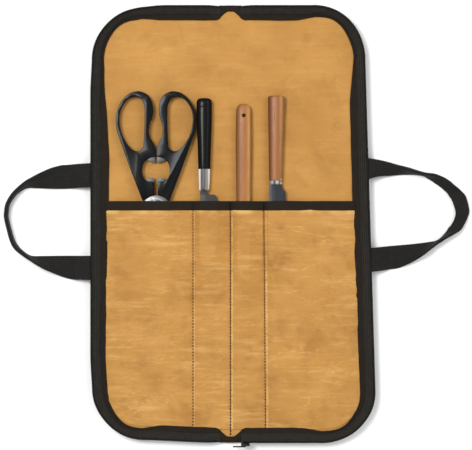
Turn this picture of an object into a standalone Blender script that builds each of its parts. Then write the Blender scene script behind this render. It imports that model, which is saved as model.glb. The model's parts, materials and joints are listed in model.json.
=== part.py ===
"""Folding zip-around tool case, lying open with four tools in its pocket.

Metres, +Z up. The origin is on the resting plane, halfway along the fold line. The fold runs along Y,
the left half is at -X, and the tools point their handles to +Y.
"""

import math

import bmesh
import bpy
from mathutils import Vector

GAP = 0.0003

# case outline, open
HALF_WIDTH = 0.1455
HALF_LENGTH = 0.2285
CORNER_RADIUS = 0.048
BAND_WIDTH = 0.0155
BAND_BOTTOM = 0.0004
FOLD_HALF_WIDTH = 0.0105
FOLD_AXIS_HEIGHT = 0.016
CORNER_STEPS = 8

# layers of each half, bottom to top
SHELL_TOP = 0.0012
INTERLINING_TOP = 0.0030
LINING_BOTTOM = INTERLINING_TOP + GAP
LINING_TOP = LINING_BOTTOM + 0.0008
PANEL_INSET = 0.0113
FOLD_END_BINDING = 0.0060
FOLD_END_BINDING_TOP = 0.0050

# binding and zip, as distances in from the rim and heights
COIL_INSET = 0.0013
COIL_HEIGHT = 0.0145
COIL_RADIUS = 0.0012
COIL_SIDES = 6

# pocket
MOUTH_TOP = 0.0240
MOUTH_BOTTOM = 0.0142
CANVAS = 0.0008
BINDING_THICKNESS = 0.0014
SLOT_FLOOR = LINING_TOP + GAP
BOTTOM_RISE_START = 0.008
STRAIGHT_COLUMNS_TO = 0.060
LEFT_DIVIDER = -0.0399
RIGHT_DIVIDER = 0.0355
FULL_DEPTH_TO = -0.092
THREAD = 0.0006

# webbing handles: roots, then shares of the reach where the strap folds, turns and comes down
WEBBING_WIDTH = 0.0245
WEBBING_THICKNESS = 0.0018
HANDLE_AXIS_HEIGHT = 0.0140
HANDLE_CLEARANCE = 0.0006
HANDLE_SPREAD = 0.0480
HANDLE_EXPONENT = 2.5
HANDLE_STEPS = 30
LEFT_ROOT = (0.1485, 0.0031)
LEFT_REACH = 0.0890
RIGHT_ROOT = (0.1515, 0.0095)
RIGHT_REACH = 0.0930
STRAIGHT_ROOT = 0.0050
FOLD_FROM = 0.15
FOLD_OVER = 0.40
FOLDED_THICKENING = 0.9
DROP_OVER = 0.30
LEFT_LEAN = math.radians(84)
RIGHT_LEAN = math.radians(150)

# zip slider
SLIDER_X = 0.0155
SLIDER_LENGTH = 0.0090
SLIDER_PLATE = 0.0018
SLIDER_TOP = 0.0195
SLIDER_BOTTOM = 0.0112
SLIDER_LIP = 0.0024
SLIDER_LIP_TOP = 0.0126
PULL_LENGTH = 0.0130
PULL_HALF_THICKNESS = 0.0005
PULL_BOTTOM = 0.0125
PULL_TOP = 0.0170

# shears
SHEARS_X = -0.0778
SHEARS_PIVOT_Y = 0.0176
SHEARS_BOTTOM = 0.0045
SHEARS_THICKNESS = 0.0090
SHEARS_RIM = 0.0012
SHOULDER_RADIUS = 0.0120
SCREW_RADIUS = 0.0080
SCREW_RIM = 0.0009
SCREW_HEAD = 0.0014
SHANK_RADIUS = 0.0025
BLADE_LENGTH = 0.0920
WASHER_THICKNESS = 0.0014

# straight tools: heights of their middle lines, and where they stand
BLADE_THICKNESS = 0.0020
KNIFE_HEIGHT = 0.0100
GOUGE_HEIGHT = 0.0095
BLACK_KNIFE_X = -0.0273
GOUGE_X = 0.0136
WOODEN_KNIFE_X = 0.0470
KNIFE_BLADE_BOTTOM = KNIFE_HEIGHT - BLADE_THICKNESS / 2
HANGING_HOLE = (0.0140, 0.1131)
HANGING_HOLE_RADIUS = 0.0021

CANVAS_TAN = (0.58, 0.29, 0.085)
FABRIC_BLACK = (0.022, 0.020, 0.018)
PLASTIC_BLACK = (0.012, 0.011, 0.011)
STEEL = (0.36, 0.35, 0.33)
WOOD = (0.42, 0.19, 0.08)


def clear_scene():
    for obj in list(bpy.data.objects):
        bpy.data.objects.remove(obj, do_unlink=True)


def make_material(name, colour, roughness, metallic=0.0):
    material = bpy.data.materials.new(name)
    material.use_nodes = True
    shader = material.node_tree.nodes["Principled BSDF"]
    shader.inputs["Base Color"].default_value = (*colour, 1.0)
    shader.inputs["Roughness"].default_value = roughness
    shader.inputs["Metallic"].default_value = metallic
    return material


def make_pivot(name, location, parent=None):
    """An empty on a joint's axis, placed in world coordinates."""
    pivot = bpy.data.objects.new(name, None)
    bpy.context.scene.collection.objects.link(pivot)
    pivot.parent = parent
    pivot.location = Vector(location) - world_origin(parent)
    return pivot


def world_origin(pivot):
    origin = Vector((0.0, 0.0, 0.0))
    while pivot is not None:
        origin += pivot.location
        pivot = pivot.parent
    return origin


def make_object(name, bm, look, pivot, smooth_angle=None):
    """Turns a bmesh in world coordinates into a named object that sits on its pivot."""
    bmesh.ops.recalc_face_normals(bm, faces=bm.faces[:])
    bmesh.ops.translate(bm, vec=-world_origin(pivot), verts=bm.verts[:])
    mesh = bpy.data.meshes.new(name)
    bm.to_mesh(mesh)
    bm.free()
    if smooth_angle is not None:
        mesh.shade_smooth()
        mesh.set_sharp_from_angle(angle=math.radians(smooth_angle))
    obj = bpy.data.objects.new(name, mesh)
    bpy.context.scene.collection.objects.link(obj)
    obj.parent = pivot
    mesh.materials.append(make_material(name, *look))
    return obj


def loft(sections):
    """A closed solid through sections that have the same number of points each."""
    bm = bmesh.new()
    rings = [[bm.verts.new(p) for p in section] for section in sections]
    count = len(rings[0])
    for near, far in zip(rings, rings[1:]):
        for i in range(count):
            k = (i + 1) % count
            bm.faces.new((near[i], near[k], far[k], far[i]))
    bm.faces.new(rings[0][::-1])
    bm.faces.new(rings[-1])
    return bm


def flat_piece(outline, low, high, holes=()):
    """A sheet between two heights, from an outline and the outlines of its holes."""
    bm = bmesh.new()
    edges = []
    for loop in (outline, *holes):
        verts = [bm.verts.new((x, y, low)) for x, y in loop]
        edges += [bm.edges.new((verts[i - 1], verts[i])) for i in range(len(verts))]
    bmesh.ops.triangle_fill(bm, use_beauty=True, edges=edges, normal=(0, 0, 1))
    made = bmesh.ops.extrude_face_region(bm, geom=bm.faces[:])
    raised = [item for item in made["geom"] if isinstance(item, bmesh.types.BMVert)]
    bmesh.ops.translate(bm, vec=(0, 0, high - low), verts=raised)
    return bm


def box(low, high):
    """A rectangular solid between two corners."""
    (x0, y0, z0), (x1, y1, z1) = low, high
    outline = [(x0, y0), (x1, y0), (x1, y1), (x0, y1)]
    return flat_piece(outline, z0, z1)


def circle(centre, radius, steps=24):
    turns = [2 * math.pi * i / steps for i in range(steps)]
    return [(centre[0] + radius * math.cos(a), centre[1] + radius * math.sin(a)) for a in turns]


def smooth_curve(points, steps, closed=False):
    """A Catmull-Rom curve through the points, with the given number of steps a span."""
    count = len(points)
    ends = [points[-1], *points, points[0], points[1]] if closed else [points[0], *points, points[-1]]
    curve = []
    for i in range(count if closed else count - 1):
        a, b, c, d = (Vector(p) for p in ends[i : i + 4])
        for k in range(steps):
            t = k / steps
            bend = (2 * a - 5 * b + 4 * c - d) * t * t + (3 * b - a - 3 * c + d) * t**3
            curve.append(tuple(0.5 * (2 * b + (c - a) * t + bend)))
    if not closed:
        curve.append(tuple(points[-1]))
    return curve


def ease(t):
    """0 to 1 with a flat start and end."""
    t = min(1.0, max(0.0, t))
    return t * t * (3 - 2 * t)


# ---- case ----


def rim_path(side, inset, fold_x=FOLD_HALF_WIDTH):
    """Points along one half's edge, a distance in from the rim, from the top of the fold to the bottom."""
    radius = CORNER_RADIUS - inset
    centre_x = HALF_WIDTH - CORNER_RADIUS
    centre_y = HALF_LENGTH - CORNER_RADIUS
    points = [(fold_x, HALF_LENGTH - inset)]
    for sign, first in ((1, 90), (-1, 0)):
        for i in range(CORNER_STEPS + 1):
            angle = math.radians(first - 90 * i / CORNER_STEPS)
            points.append((centre_x + radius * math.cos(angle), sign * centre_y + radius * math.sin(angle)))
    points.append((fold_x, inset - HALF_LENGTH))
    return [(side * x, y) for x, y in points]


def rim_strip(side, profile):
    """A strip along the rim whose profile is a list of (inset, height)."""
    paths = [(rim_path(side, inset), height) for inset, height in profile]
    stations = range(len(paths[0][0]))
    return loft([[(*path[i], height) for path, height in paths] for i in stations])


def edge_binding_profile():
    """The black binding over the raw edges of shell and lining."""
    flange_low = LINING_TOP + GAP
    return [
        (BAND_WIDTH, flange_low),
        (BAND_WIDTH, flange_low + 0.0008),
        (0.0120, flange_low + 0.0010),
        (0.0104, 0.0064),
        (0.0080, 0.0056),
        (0.0092, BAND_BOTTOM),
        (0.0108, BAND_BOTTOM),
        (0.0109, flange_low),
    ]


def zip_tape_profile():
    """The tape rises from the binding to the coil."""
    return [(0.0099, 0.0070), (0.0031, 0.0139), (0.0028, 0.0130), (0.0090, 0.0066)]


def coil_profile():
    turns = [2 * math.pi * (i + 0.5) / COIL_SIDES for i in range(COIL_SIDES)]
    return [
        (COIL_INSET + COIL_RADIUS * math.cos(a), COIL_HEIGHT + COIL_RADIUS * math.sin(a)) for a in turns
    ]


def half_panel(side, low, high):
    """A flat layer of one half, inside the edge binding."""
    return flat_piece(rim_path(side, PANEL_INSET), low, high)


def plateau(x, start, flat_start, flat_end, end):
    """1 between the flat ends, easing to 0 at start and end."""
    return min(ease((x - start) / (flat_start - start)), ease((end - x) / (end - flat_end)))


def slots(side):
    """Each slot as start, start and end of its crest, end, and height of its crest above the lining."""
    edge = HALF_WIDTH - BAND_WIDTH - GAP
    if side < 0:
        return [
            (-edge, SHEARS_X - 0.0155, SHEARS_X + 0.0155, LEFT_DIVIDER - GAP, 0.0096),
            (LEFT_DIVIDER + GAP, -0.0322, -0.0135, -2 * GAP, 0.0072),
        ]
    return [
        (2 * GAP, 0.0095, 0.0177, RIGHT_DIVIDER - GAP, 0.0097),
        (RIGHT_DIVIDER + GAP, 0.0398, 0.0580, edge, 0.0072),
    ]


def slot_columns(side):
    """X positions that follow every slot's rise, crest and fall, from low to high."""
    columns = []
    for start, flat_start, flat_end, end, _ in slots(side):
        columns += [start + (flat_start - start) * i / 3 for i in range(4)]
        columns += [flat_end + (end - flat_end) * i / 3 for i in range(4)]
    return columns


def slot_rise(side, x, y):
    """How far the pocket front stands above its floor, over the tools."""
    bottom = BAND_WIDTH - HALF_LENGTH + BOTTOM_RISE_START
    fade = ease((y - bottom) / (FULL_DEPTH_TO - bottom))
    rises = [crest * plateau(x, a, b, c, d) for a, b, c, d, crest in slots(side) if a <= x <= d]
    return fade * max(rises, default=0.0)


def pocket_limit(y):
    """The farthest X that a pocket front reaches at this Y, inside the rounded binding."""
    inset = BAND_WIDTH + GAP
    radius = CORNER_RADIUS - inset
    drop = max(0.0, -y - (HALF_LENGTH - CORNER_RADIUS))
    return HALF_WIDTH - CORNER_RADIUS + math.sqrt(max(0.0, radius**2 - drop**2))


def pocket_sheet(side, rows, thickness):
    """A sheet over the slots, with a section at each row from the fold side to the edge side."""
    full = pocket_limit(0.0)
    sections = []
    for y in rows:
        limit = pocket_limit(y)
        under = []
        for x in slot_columns(side):
            reach = min(abs(x), full) * (limit / full) if abs(x) > STRAIGHT_COLUMNS_TO else abs(x)
            under.append((side * reach, y, SLOT_FLOOR + slot_rise(side, x, y)))
        over = [(x, y, z + thickness) for x, y, z in reversed(under)]
        sections.append(under + over)
    return loft(sections)


def make_half(side, word, pivot):
    """Every sewn layer of one half of the case."""
    canvas = (CANVAS_TAN, 0.75)
    black = (FABRIC_BLACK, 0.85)
    make_object(f"{word}_shell", half_panel(side, 0.0, SHELL_TOP), canvas, pivot)
    foam = half_panel(side, SHELL_TOP + GAP, INTERLINING_TOP)
    make_object(f"{word}_interlining", foam, ((0.30, 0.30, 0.29), 0.9), pivot)
    make_object(f"{word}_lining", half_panel(side, LINING_BOTTOM, LINING_TOP), canvas, pivot)
    make_object(f"{word}_edge_binding", rim_strip(side, edge_binding_profile()), black, pivot)
    make_object(f"{word}_zip_tape", rim_strip(side, zip_tape_profile()), black, pivot)
    make_object(f"{word}_zip_coil", rim_strip(side, coil_profile()), (FABRIC_BLACK, 0.45), pivot, 40)
    bottom = BAND_WIDTH + GAP - HALF_LENGTH
    rows = [MOUTH_BOTTOM - GAP, -0.040, FULL_DEPTH_TO, -0.125, -0.155, -0.180]
    rows += [-0.192, -0.202, -0.209, bottom]
    make_object(f"{word}_pocket_front", pocket_sheet(side, rows, CANVAS), canvas, pivot, 50)
    mouth = pocket_sheet(side, [MOUTH_TOP, MOUTH_BOTTOM], BINDING_THICKNESS)
    make_object(f"{word}_mouth_binding", mouth, black, pivot, 50)


def stitch_row(x, top, bottom):
    """A row of stitching on top of the pocket fronts."""
    low = SLOT_FLOOR + CANVAS + GAP
    return box((x - THREAD / 2, bottom, low), (x + THREAD / 2, top, low + THREAD))


def make_fold(pivot):
    """The narrow strip of canvas that the two halves fold about, with its bound ends."""
    width = FOLD_HALF_WIDTH - GAP
    end = HALF_LENGTH - FOLD_END_BINDING
    canvas = (CANVAS_TAN, 0.75)
    black = (FABRIC_BLACK, 0.85)
    make_object("fold_shell", box((-width, -end, 0.0), (width, end, SHELL_TOP)), canvas, pivot)
    lining = box((-width, -end, LINING_BOTTOM), (width, end, LINING_TOP))
    make_object("fold_lining", lining, canvas, pivot)
    inner = end + GAP
    outer = HALF_LENGTH - GAP
    for word, low, high in (("top", inner, outer), ("bottom", -outer, -inner)):
        binding = box((-width, low, BAND_BOTTOM), (width, high, FOLD_END_BINDING_TOP))
        make_object(f"{word}_end_binding", binding, black, pivot)
    stitches = stitch_row(0.0, MOUTH_BOTTOM - GAP, FOLD_END_BINDING - end)
    make_object("fold_stitching", stitches, (FABRIC_BLACK, 0.6), pivot)


def webbing_section(centre, along, lean, width, thickness):
    """A webbing cross-section; lean is its turn about the direction it runs in."""
    level = Vector((along.y, -along.x, 0.0)).normalized()
    across = level * math.cos(lean) + Vector((0, 0, 1)) * math.sin(lean)
    normal = along.cross(across).normalized()
    half, skin = across * width / 2, normal * thickness / 2
    return [tuple(centre + p) for p in (half + skin, half - skin, -half - skin, skin - half)]


def handle_place(side, root, reach, out, along, lean):
    """Centre, lean, width and thickness of a loop where it stands out by a share of its reach."""
    distance = reach * out
    fold = ease((out - FOLD_FROM) / FOLD_OVER)
    tilt = lean(out)
    width = WEBBING_WIDTH * (1 - fold / 2)
    thickness = WEBBING_THICKNESS * (1 + fold * FOLDED_THICKENING)
    rest = HANDLE_CLEARANCE + width / 2 * abs(math.sin(tilt)) + thickness / 2
    drop = ease((distance - STRAIGHT_ROOT) / (reach * DROP_OVER))
    height = rest + (HANDLE_AXIS_HEIGHT - rest) * (1 - drop)
    axis_x, centre_y = root
    centre = Vector((side * (axis_x + distance), centre_y + HANDLE_SPREAD * along, height))
    return centre, tilt, width, thickness


def handle_loop(side, root, reach, lean):
    """Webbing loop, flat at its ends and folded in half lengthwise along the grip."""
    spots = [(0.0, 1.0), (STRAIGHT_ROOT / reach, 1.0)]
    for i in range(1, HANDLE_STEPS):
        angle = math.pi * i / HANDLE_STEPS
        out = math.sin(angle) ** (2 / HANDLE_EXPONENT)
        along = math.copysign(abs(math.cos(angle)) ** (2 / HANDLE_EXPONENT), math.cos(angle))
        spots.append((out, along))
    spots += [(STRAIGHT_ROOT / reach, -1.0), (0.0, -1.0)]
    places = [handle_place(side, root, reach, out, along, lean) for out, along in spots]
    sections = []
    for i, (centre, tilt, width, thickness) in enumerate(places):
        before = places[max(i - 1, 0)][0]
        after = places[min(i + 1, len(places) - 1)][0]
        run = (after - before).normalized()
        if i in (0, len(places) - 1):
            run = Vector((run.x, 0, 0)).normalized()
        sections.append(webbing_section(centre, run, side * tilt, width, thickness))
    return loft(sections)


def upright_grip(out):
    """The left loop stands on its edge at the grip."""
    return LEFT_LEAN * ease((out - 0.20) / 0.60)


def rolled_grip(out):
    """The right loop turns past its edge and lies over at the grip."""
    return RIGHT_LEAN * ease((out - 0.08) / 0.92)


# ---- zip slider ----


def make_slider(right_pivot):
    outer = -HALF_LENGTH - GAP
    pivot = make_pivot("slider_start", (SLIDER_X, outer, COIL_HEIGHT), right_pivot)
    metal = ((0.30, 0.29, 0.27), 0.3, 1.0)
    profile = [
        (outer, SLIDER_TOP),
        (outer - SLIDER_PLATE, SLIDER_TOP),
        (outer - SLIDER_PLATE, SLIDER_BOTTOM),
        (outer + SLIDER_LIP, SLIDER_BOTTOM),
        (outer + SLIDER_LIP, SLIDER_LIP_TOP),
        (outer, SLIDER_LIP_TOP),
    ]
    ends = (SLIDER_X - SLIDER_LENGTH / 2, SLIDER_X + SLIDER_LENGTH / 2)
    body = loft([[(x, y, z) for y, z in profile] for x in ends])
    make_object("zip_slider", body, metal, pivot)
    axis_y = outer - SLIDER_PLATE - 2 * GAP - PULL_HALF_THICKNESS
    hinge = make_pivot("pull_tab_hinge", (SLIDER_X, axis_y, COIL_HEIGHT), pivot)
    tab = box(
        (SLIDER_X - PULL_LENGTH, axis_y - PULL_HALF_THICKNESS, PULL_BOTTOM),
        (SLIDER_X + PULL_HALF_THICKNESS, axis_y + PULL_HALF_THICKNESS, PULL_TOP),
    )
    make_object("zip_pull_tab", tab, metal, hinge)


# ---- shears ----


def bow_outline():
    """One bow with its neck, as distances from the middle line of the shears and Y positions."""
    grip = [
        (0.0010, 0.0705),
        (0.0010, 0.0785),
        (0.0032, 0.0840),
        (0.0060, 0.0905),
        (0.0073, 0.0985),
        (0.0063, 0.1065),
        (0.0036, 0.1125),
        (0.0028, 0.1190),
        (0.0042, 0.1260),
        (0.0086, 0.1330),
        (0.0150, 0.1373),
        (0.0220, 0.1380),
        (0.0305, 0.1335),
        (0.0375, 0.1240),
        (0.0415, 0.1120),
        (0.0413, 0.1020),
        (0.0380, 0.0900),
        (0.0329, 0.0760),
        (0.0139, 0.0244),
    ]
    opener = [
        (0.0019, 0.0446),
        (0.0095, 0.0452),
        (0.0134, 0.0495),
        (0.0146, 0.0570),
        (0.0126, 0.0640),
        (0.0075, 0.0686),
        (0.0016, 0.0700),
    ]
    shoulder = []
    radius = SHOULDER_RADIUS + 2 * GAP
    for i in range(7):
        angle = math.radians(10 + 71 * i / 6)
        shoulder.append((radius * math.cos(angle), SHEARS_PIVOT_Y + radius * math.sin(angle)))
    return smooth_curve(grip, 3) + shoulder + smooth_curve(opener, 3)


def finger_hole():
    hole = [
        (0.0136, 0.1250),
        (0.0155, 0.1305),
        (0.0210, 0.1322),
        (0.0285, 0.1298),
        (0.0348, 0.1235),
        (0.0379, 0.1130),
        (0.0377, 0.1040),
        (0.0353, 0.0935),
        (0.0300, 0.0833),
        (0.0230, 0.0775),
        (0.0168, 0.0772),
        (0.0137, 0.0815),
    ]
    return smooth_curve(hole, 3, closed=True)


def make_bow(name, side, pivot):
    """A bow at side -1 or +1 of the middle line."""
    outline = [(SHEARS_X + side * u, y) for u, y in bow_outline()]
    hole = [(SHEARS_X + side * u, y) for u, y in finger_hole()]
    bm = flat_piece(outline, SHEARS_BOTTOM, SHEARS_BOTTOM + SHEARS_THICKNESS, [hole])
    bow = make_object(name, bm, (PLASTIC_BLACK, 0.35), pivot)
    bevel = bow.modifiers.new("rounded_rims", "BEVEL")
    bevel.width = SHEARS_RIM
    bevel.segments = 2
    bevel.limit_method = "ANGLE"
    bevel.angle_limit = math.radians(60)
    return bow


def make_shears_blade(name, side, low, pivot):
    """A pointed blade with a round shoulder and a hole for the pivot screw; side is its cutting side."""
    shoulder = []
    for i in range(17):
        angle = math.radians(-20 + 220 * i / 16)
        shoulder.append((SHOULDER_RADIUS * math.cos(angle), SHOULDER_RADIUS * math.sin(angle)))
    edge = [(-0.0098, -0.0250), (-0.0060, -0.0700), (0.0000, -BLADE_LENGTH), (0.0032, -0.0880)]
    outline = [(SHEARS_X + side * u, SHEARS_PIVOT_Y + v) for u, v in shoulder + edge]
    hole = circle((SHEARS_X, SHEARS_PIVOT_Y), SHANK_RADIUS + GAP, 16)
    bm = flat_piece(outline, low, low + BLADE_THICKNESS, [hole])
    make_object(name, bm, (STEEL, 0.28, 1.0), pivot)


def make_shears(left_pivot):
    shears = make_pivot("shears_slide", (SHEARS_X, SHEARS_PIVOT_Y, SHEARS_BOTTOM), left_pivot)
    opening = make_pivot("shears_axis", (SHEARS_X, SHEARS_PIVOT_Y, SHEARS_BOTTOM), shears)
    make_bow("shears_inner_bow", 1, shears)
    make_bow("shears_outer_bow", -1, opening)
    lower = SHEARS_BOTTOM + WASHER_THICKNESS
    upper = lower + BLADE_THICKNESS + GAP
    make_shears_blade("shears_lower_blade", -1, lower, shears)
    make_shears_blade("shears_upper_blade", 1, upper, opening)
    head = upper + BLADE_THICKNESS + GAP
    screw = loft(
        [
            [(x, y, z) for x, y in circle((SHEARS_X, SHEARS_PIVOT_Y), radius, 24)]
            for radius, z in (
                (SHANK_RADIUS, SHEARS_BOTTOM),
                (SHANK_RADIUS, head),
                (SCREW_RADIUS, head),
                (SCREW_RADIUS, head + SCREW_RIM),
                (SCREW_RADIUS - SCREW_RIM, head + SCREW_HEAD),
            )
        ]
    )
    make_object("shears_pivot_screw", screw, (STEEL, 0.25, 1.0), shears, 30)
    ring = flat_piece(
        circle((SHEARS_X, SHEARS_PIVOT_Y), SCREW_RADIUS),
        SHEARS_BOTTOM,
        lower - GAP,
        [circle((SHEARS_X, SHEARS_PIVOT_Y), SHANK_RADIUS + GAP, 16)],
    )
    make_object("shears_pivot_washer", ring, (STEEL, 0.25, 1.0), shears)


# ---- straight-handled tools ----


def round_section(centre_x, y, height, width, thickness, steps=20):
    """An oval section of a handle, across Y."""
    turns = [2 * math.pi * i / steps for i in range(steps)]
    return [
        (centre_x + width / 2 * math.cos(a), y, height + thickness / 2 * math.sin(a)) for a in turns
    ]


def turned_handle(stations, height, steps=20):
    """A handle through stations of (y, centre x, width, thickness)."""
    return loft([round_section(x, y, height, w, t, steps) for y, x, w, t in stations])


def make_black_knife(left_pivot):
    slide = make_pivot("black_knife_slide", (BLACK_KNIFE_X, 0.0, KNIFE_HEIGHT), left_pivot)
    stations = [
        (0.1314, -0.0274, 0.0105, 0.0070),
        (0.1300, -0.0274, 0.0140, 0.0095),
        (0.1265, -0.0274, 0.0160, 0.0108),
        (0.1050, -0.0273, 0.0158, 0.0110),
        (0.0800, -0.0273, 0.0138, 0.0110),
        (0.0581, -0.0273, 0.0126, 0.0110),
    ]
    handle = turned_handle(stations, KNIFE_HEIGHT)
    make_object("black_knife_handle", handle, (PLASTIC_BLACK, 0.4), slide, 50)
    stations = [
        (0.0578, -0.0273, 0.0122, 0.0106),
        (0.0362, -0.0275, 0.0106, 0.0094),
        (0.0348, -0.0277, 0.0094, 0.0080),
    ]
    steel = (STEEL, 0.2, 1.0)
    make_object("black_knife_ferrule", turned_handle(stations, KNIFE_HEIGHT), steel, slide, 50)
    outline = [
        (-0.0316, 0.0345),
        (-0.0316, -0.0300),
        (-0.0290, -0.0400),
        (-0.0250, -0.0440),
        (-0.0185, -0.0330),
        (-0.0148, -0.0150),
        (-0.0141, 0.0283),
        (-0.0175, 0.0296),
        (-0.0210, 0.0318),
        (-0.0228, 0.0345),
    ]
    blade = flat_piece(outline, KNIFE_BLADE_BOTTOM, KNIFE_BLADE_BOTTOM + BLADE_THICKNESS)
    make_object("black_knife_blade", blade, (STEEL, 0.3, 1.0), slide)


def make_wooden_gouge(right_pivot):
    centre = GOUGE_X
    slide = make_pivot("gouge_slide", (centre, 0.0, GOUGE_HEIGHT), right_pivot)
    stations = [
        (0.1255, centre, 0.0060, 0.0040),
        (0.1240, centre, 0.0110, 0.0066),
        (0.1190, centre, 0.0152, 0.0084),
        (0.1050, centre, 0.0160, 0.0094),
        (0.0800, centre, 0.0166, 0.0100),
        (0.0450, centre, 0.0156, 0.0092),
        (0.0240, centre, 0.0148, 0.0084),
        (0.0100, centre, 0.0130, 0.0078),
    ]
    handle = make_object("gouge_handle", turned_handle(stations, GOUGE_HEIGHT), (WOOD, 0.5), slide, 50)
    cutter_mesh = flat_piece(circle(HANGING_HOLE, HANGING_HOLE_RADIUS, 12), 0.0, 2 * GOUGE_HEIGHT)
    cutter = make_object("hanging_hole", cutter_mesh, (WOOD, 0.5), slide)
    cutter.hide_render = True
    cutter.display_type = "WIRE"
    cut = handle.modifiers.new("hanging_hole", "BOOLEAN")
    cut.operation = "DIFFERENCE"
    cut.solver = "EXACT"
    cut.object = cutter
    outline = [(0.0110, 0.0097), (0.0110, -0.0100), (0.0076, -0.0180), (0.0076, -0.0460)]
    outline += [(0.0196, -0.0460), (0.0196, -0.0180), (0.0162, -0.0100), (0.0162, 0.0097)]
    low = GOUGE_HEIGHT - BLADE_THICKNESS / 2
    blade = flat_piece(outline, low, low + BLADE_THICKNESS)
    make_object("gouge_blade", blade, (STEEL, 0.3, 1.0), slide)


def make_wooden_knife(right_pivot):
    slide = make_pivot("wooden_knife_slide", (WOODEN_KNIFE_X, 0.0, KNIFE_HEIGHT), right_pivot)
    stations = [
        (0.1340, 0.0478, 0.0140, 0.0080),
        (0.1333, 0.0478, 0.0172, 0.0104),
        (0.1310, 0.0478, 0.0175, 0.0110),
        (0.0900, 0.0473, 0.0154, 0.0108),
        (0.0476, 0.0468, 0.0132, 0.0104),
    ]
    handle = turned_handle(stations, KNIFE_HEIGHT)
    make_object("wooden_knife_handle", handle, (WOOD, 0.5), slide, 50)
    stations = [
        (0.0473, 0.0470, 0.0130, 0.0100),
        (0.0445, 0.0470, 0.0124, 0.0082),
        (0.0430, 0.0470, 0.0128, 0.0060),
        (0.0416, 0.0472, 0.0126, 0.0036),
    ]
    bolster = turned_handle(stations, KNIFE_HEIGHT)
    make_object("wooden_knife_bolster", bolster, (STEEL, 0.2, 1.0), slide, 50)
    outline = [
        (0.0405, 0.0413),
        (0.0405, -0.0280),
        (0.0440, -0.0400),
        (0.0475, -0.0430),
        (0.0535, -0.0300),
        (0.0574, -0.0050),
        (0.0574, 0.0330),
        (0.0552, 0.0340),
        (0.0545, 0.0380),
        (0.0534, 0.0413),
    ]
    blade = flat_piece(outline, KNIFE_BLADE_BOTTOM, KNIFE_BLADE_BOTTOM + BLADE_THICKNESS)
    make_object("wooden_knife_blade", blade, (STEEL, 0.3, 1.0), slide)


def make_case():
    left = make_pivot("left_half", (0, 0, 0))
    fold = make_pivot("fold_axis", (0, 0, FOLD_AXIS_HEIGHT), left)
    right = make_pivot("right_fold_axis", (0, 0, FOLD_AXIS_HEIGHT), left)
    make_half(-1, "left", left)
    make_half(1, "right", right)
    make_fold(fold)
    thread = (FABRIC_BLACK, 0.6)
    bottom = BAND_WIDTH + 2 * GAP - HALF_LENGTH
    for word, x, pivot in (("left", LEFT_DIVIDER, left), ("right", RIGHT_DIVIDER, right)):
        row = stitch_row(x, MOUTH_BOTTOM - 2 * GAP, bottom)
        make_object(f"{word}_divider_stitching", row, thread, pivot)
    black = (FABRIC_BLACK, 0.8)
    for word, side, parent, root, reach, lean in (
        ("left", -1, left, LEFT_ROOT, LEFT_REACH, upright_grip),
        ("right", 1, right, RIGHT_ROOT, RIGHT_REACH, rolled_grip),
    ):
        hinge = make_pivot(f"{word}_handle_hinge", (side * root[0], root[1], HANDLE_AXIS_HEIGHT), parent)
        make_object(f"{word}_handle", handle_loop(side, root, reach, lean), black, hinge, 60)
    return left, right


def main():
    clear_scene()
    left, right = make_case()
    make_slider(right)
    make_shears(left)
    make_black_knife(left)
    make_wooden_gouge(right)
    make_wooden_knife(right)


main()
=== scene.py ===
"""Looks for the folding tool case and its four tools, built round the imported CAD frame.

Metres, +Z up, in the CAD's own frame: the fold runs along Y through the origin, the left half is at -X
and the tools point their handles to +Y. Tables of points are in millimetres where they say so.
"""

import json
import math

import bmesh
import bpy
import numpy as np
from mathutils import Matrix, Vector, noise
from mathutils.bvhtree import BVHTree


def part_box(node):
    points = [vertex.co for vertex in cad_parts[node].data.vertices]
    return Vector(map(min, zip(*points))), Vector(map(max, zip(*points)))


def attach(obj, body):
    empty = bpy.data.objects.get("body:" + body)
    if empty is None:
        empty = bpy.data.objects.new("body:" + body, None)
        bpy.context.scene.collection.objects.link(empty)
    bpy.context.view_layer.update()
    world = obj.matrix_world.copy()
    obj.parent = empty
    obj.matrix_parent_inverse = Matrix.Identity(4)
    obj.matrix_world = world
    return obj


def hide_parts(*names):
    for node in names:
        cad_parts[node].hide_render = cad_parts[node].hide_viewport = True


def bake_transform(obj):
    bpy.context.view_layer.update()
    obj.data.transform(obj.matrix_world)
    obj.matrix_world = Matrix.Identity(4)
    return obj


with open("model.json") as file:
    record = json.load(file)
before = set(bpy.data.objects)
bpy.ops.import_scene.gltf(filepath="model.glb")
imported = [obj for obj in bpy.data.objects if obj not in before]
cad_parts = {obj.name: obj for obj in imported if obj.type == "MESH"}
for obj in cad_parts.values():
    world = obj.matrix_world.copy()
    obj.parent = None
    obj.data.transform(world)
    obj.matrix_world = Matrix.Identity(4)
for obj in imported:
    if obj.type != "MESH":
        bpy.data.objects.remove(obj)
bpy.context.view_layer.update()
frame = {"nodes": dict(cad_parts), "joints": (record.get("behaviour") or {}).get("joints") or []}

# ---- driving dimensions, from the frame where it holds them ----

coil_low, coil_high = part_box("left_zip_coil")
RIM_X = -coil_low[0]
RIM_Y = coil_high[1]
FOLD_X = -coil_high[0]
CORNER = 0.055
LINING_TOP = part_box("left_lining")[1][2]
SHELL_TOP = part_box("left_shell")[1][2]
PANEL_INSET = 0.0088
PANEL_CORNER = 0.0040
MOUTH_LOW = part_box("left_mouth_binding")[0][1]
MOUTH_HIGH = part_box("left_mouth_binding")[1][1]
FOLD_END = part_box("fold_lining")[1][1]
LEFT_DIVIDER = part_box("left_divider_stitching")[0][0] + 0.0003
RIGHT_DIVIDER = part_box("right_divider_stitching")[0][0] + 0.0003
JOINTS = {joint["name"]: joint for joint in frame["joints"]}

MM = 1000
CANVAS = 0.0007
POCKET_BLEND = 0.0048
SEED_STEP = 17.3
LOWEST = 0.0003

HALVES = {"left": -1, "right": 1}


# ---- meshes ----


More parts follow.
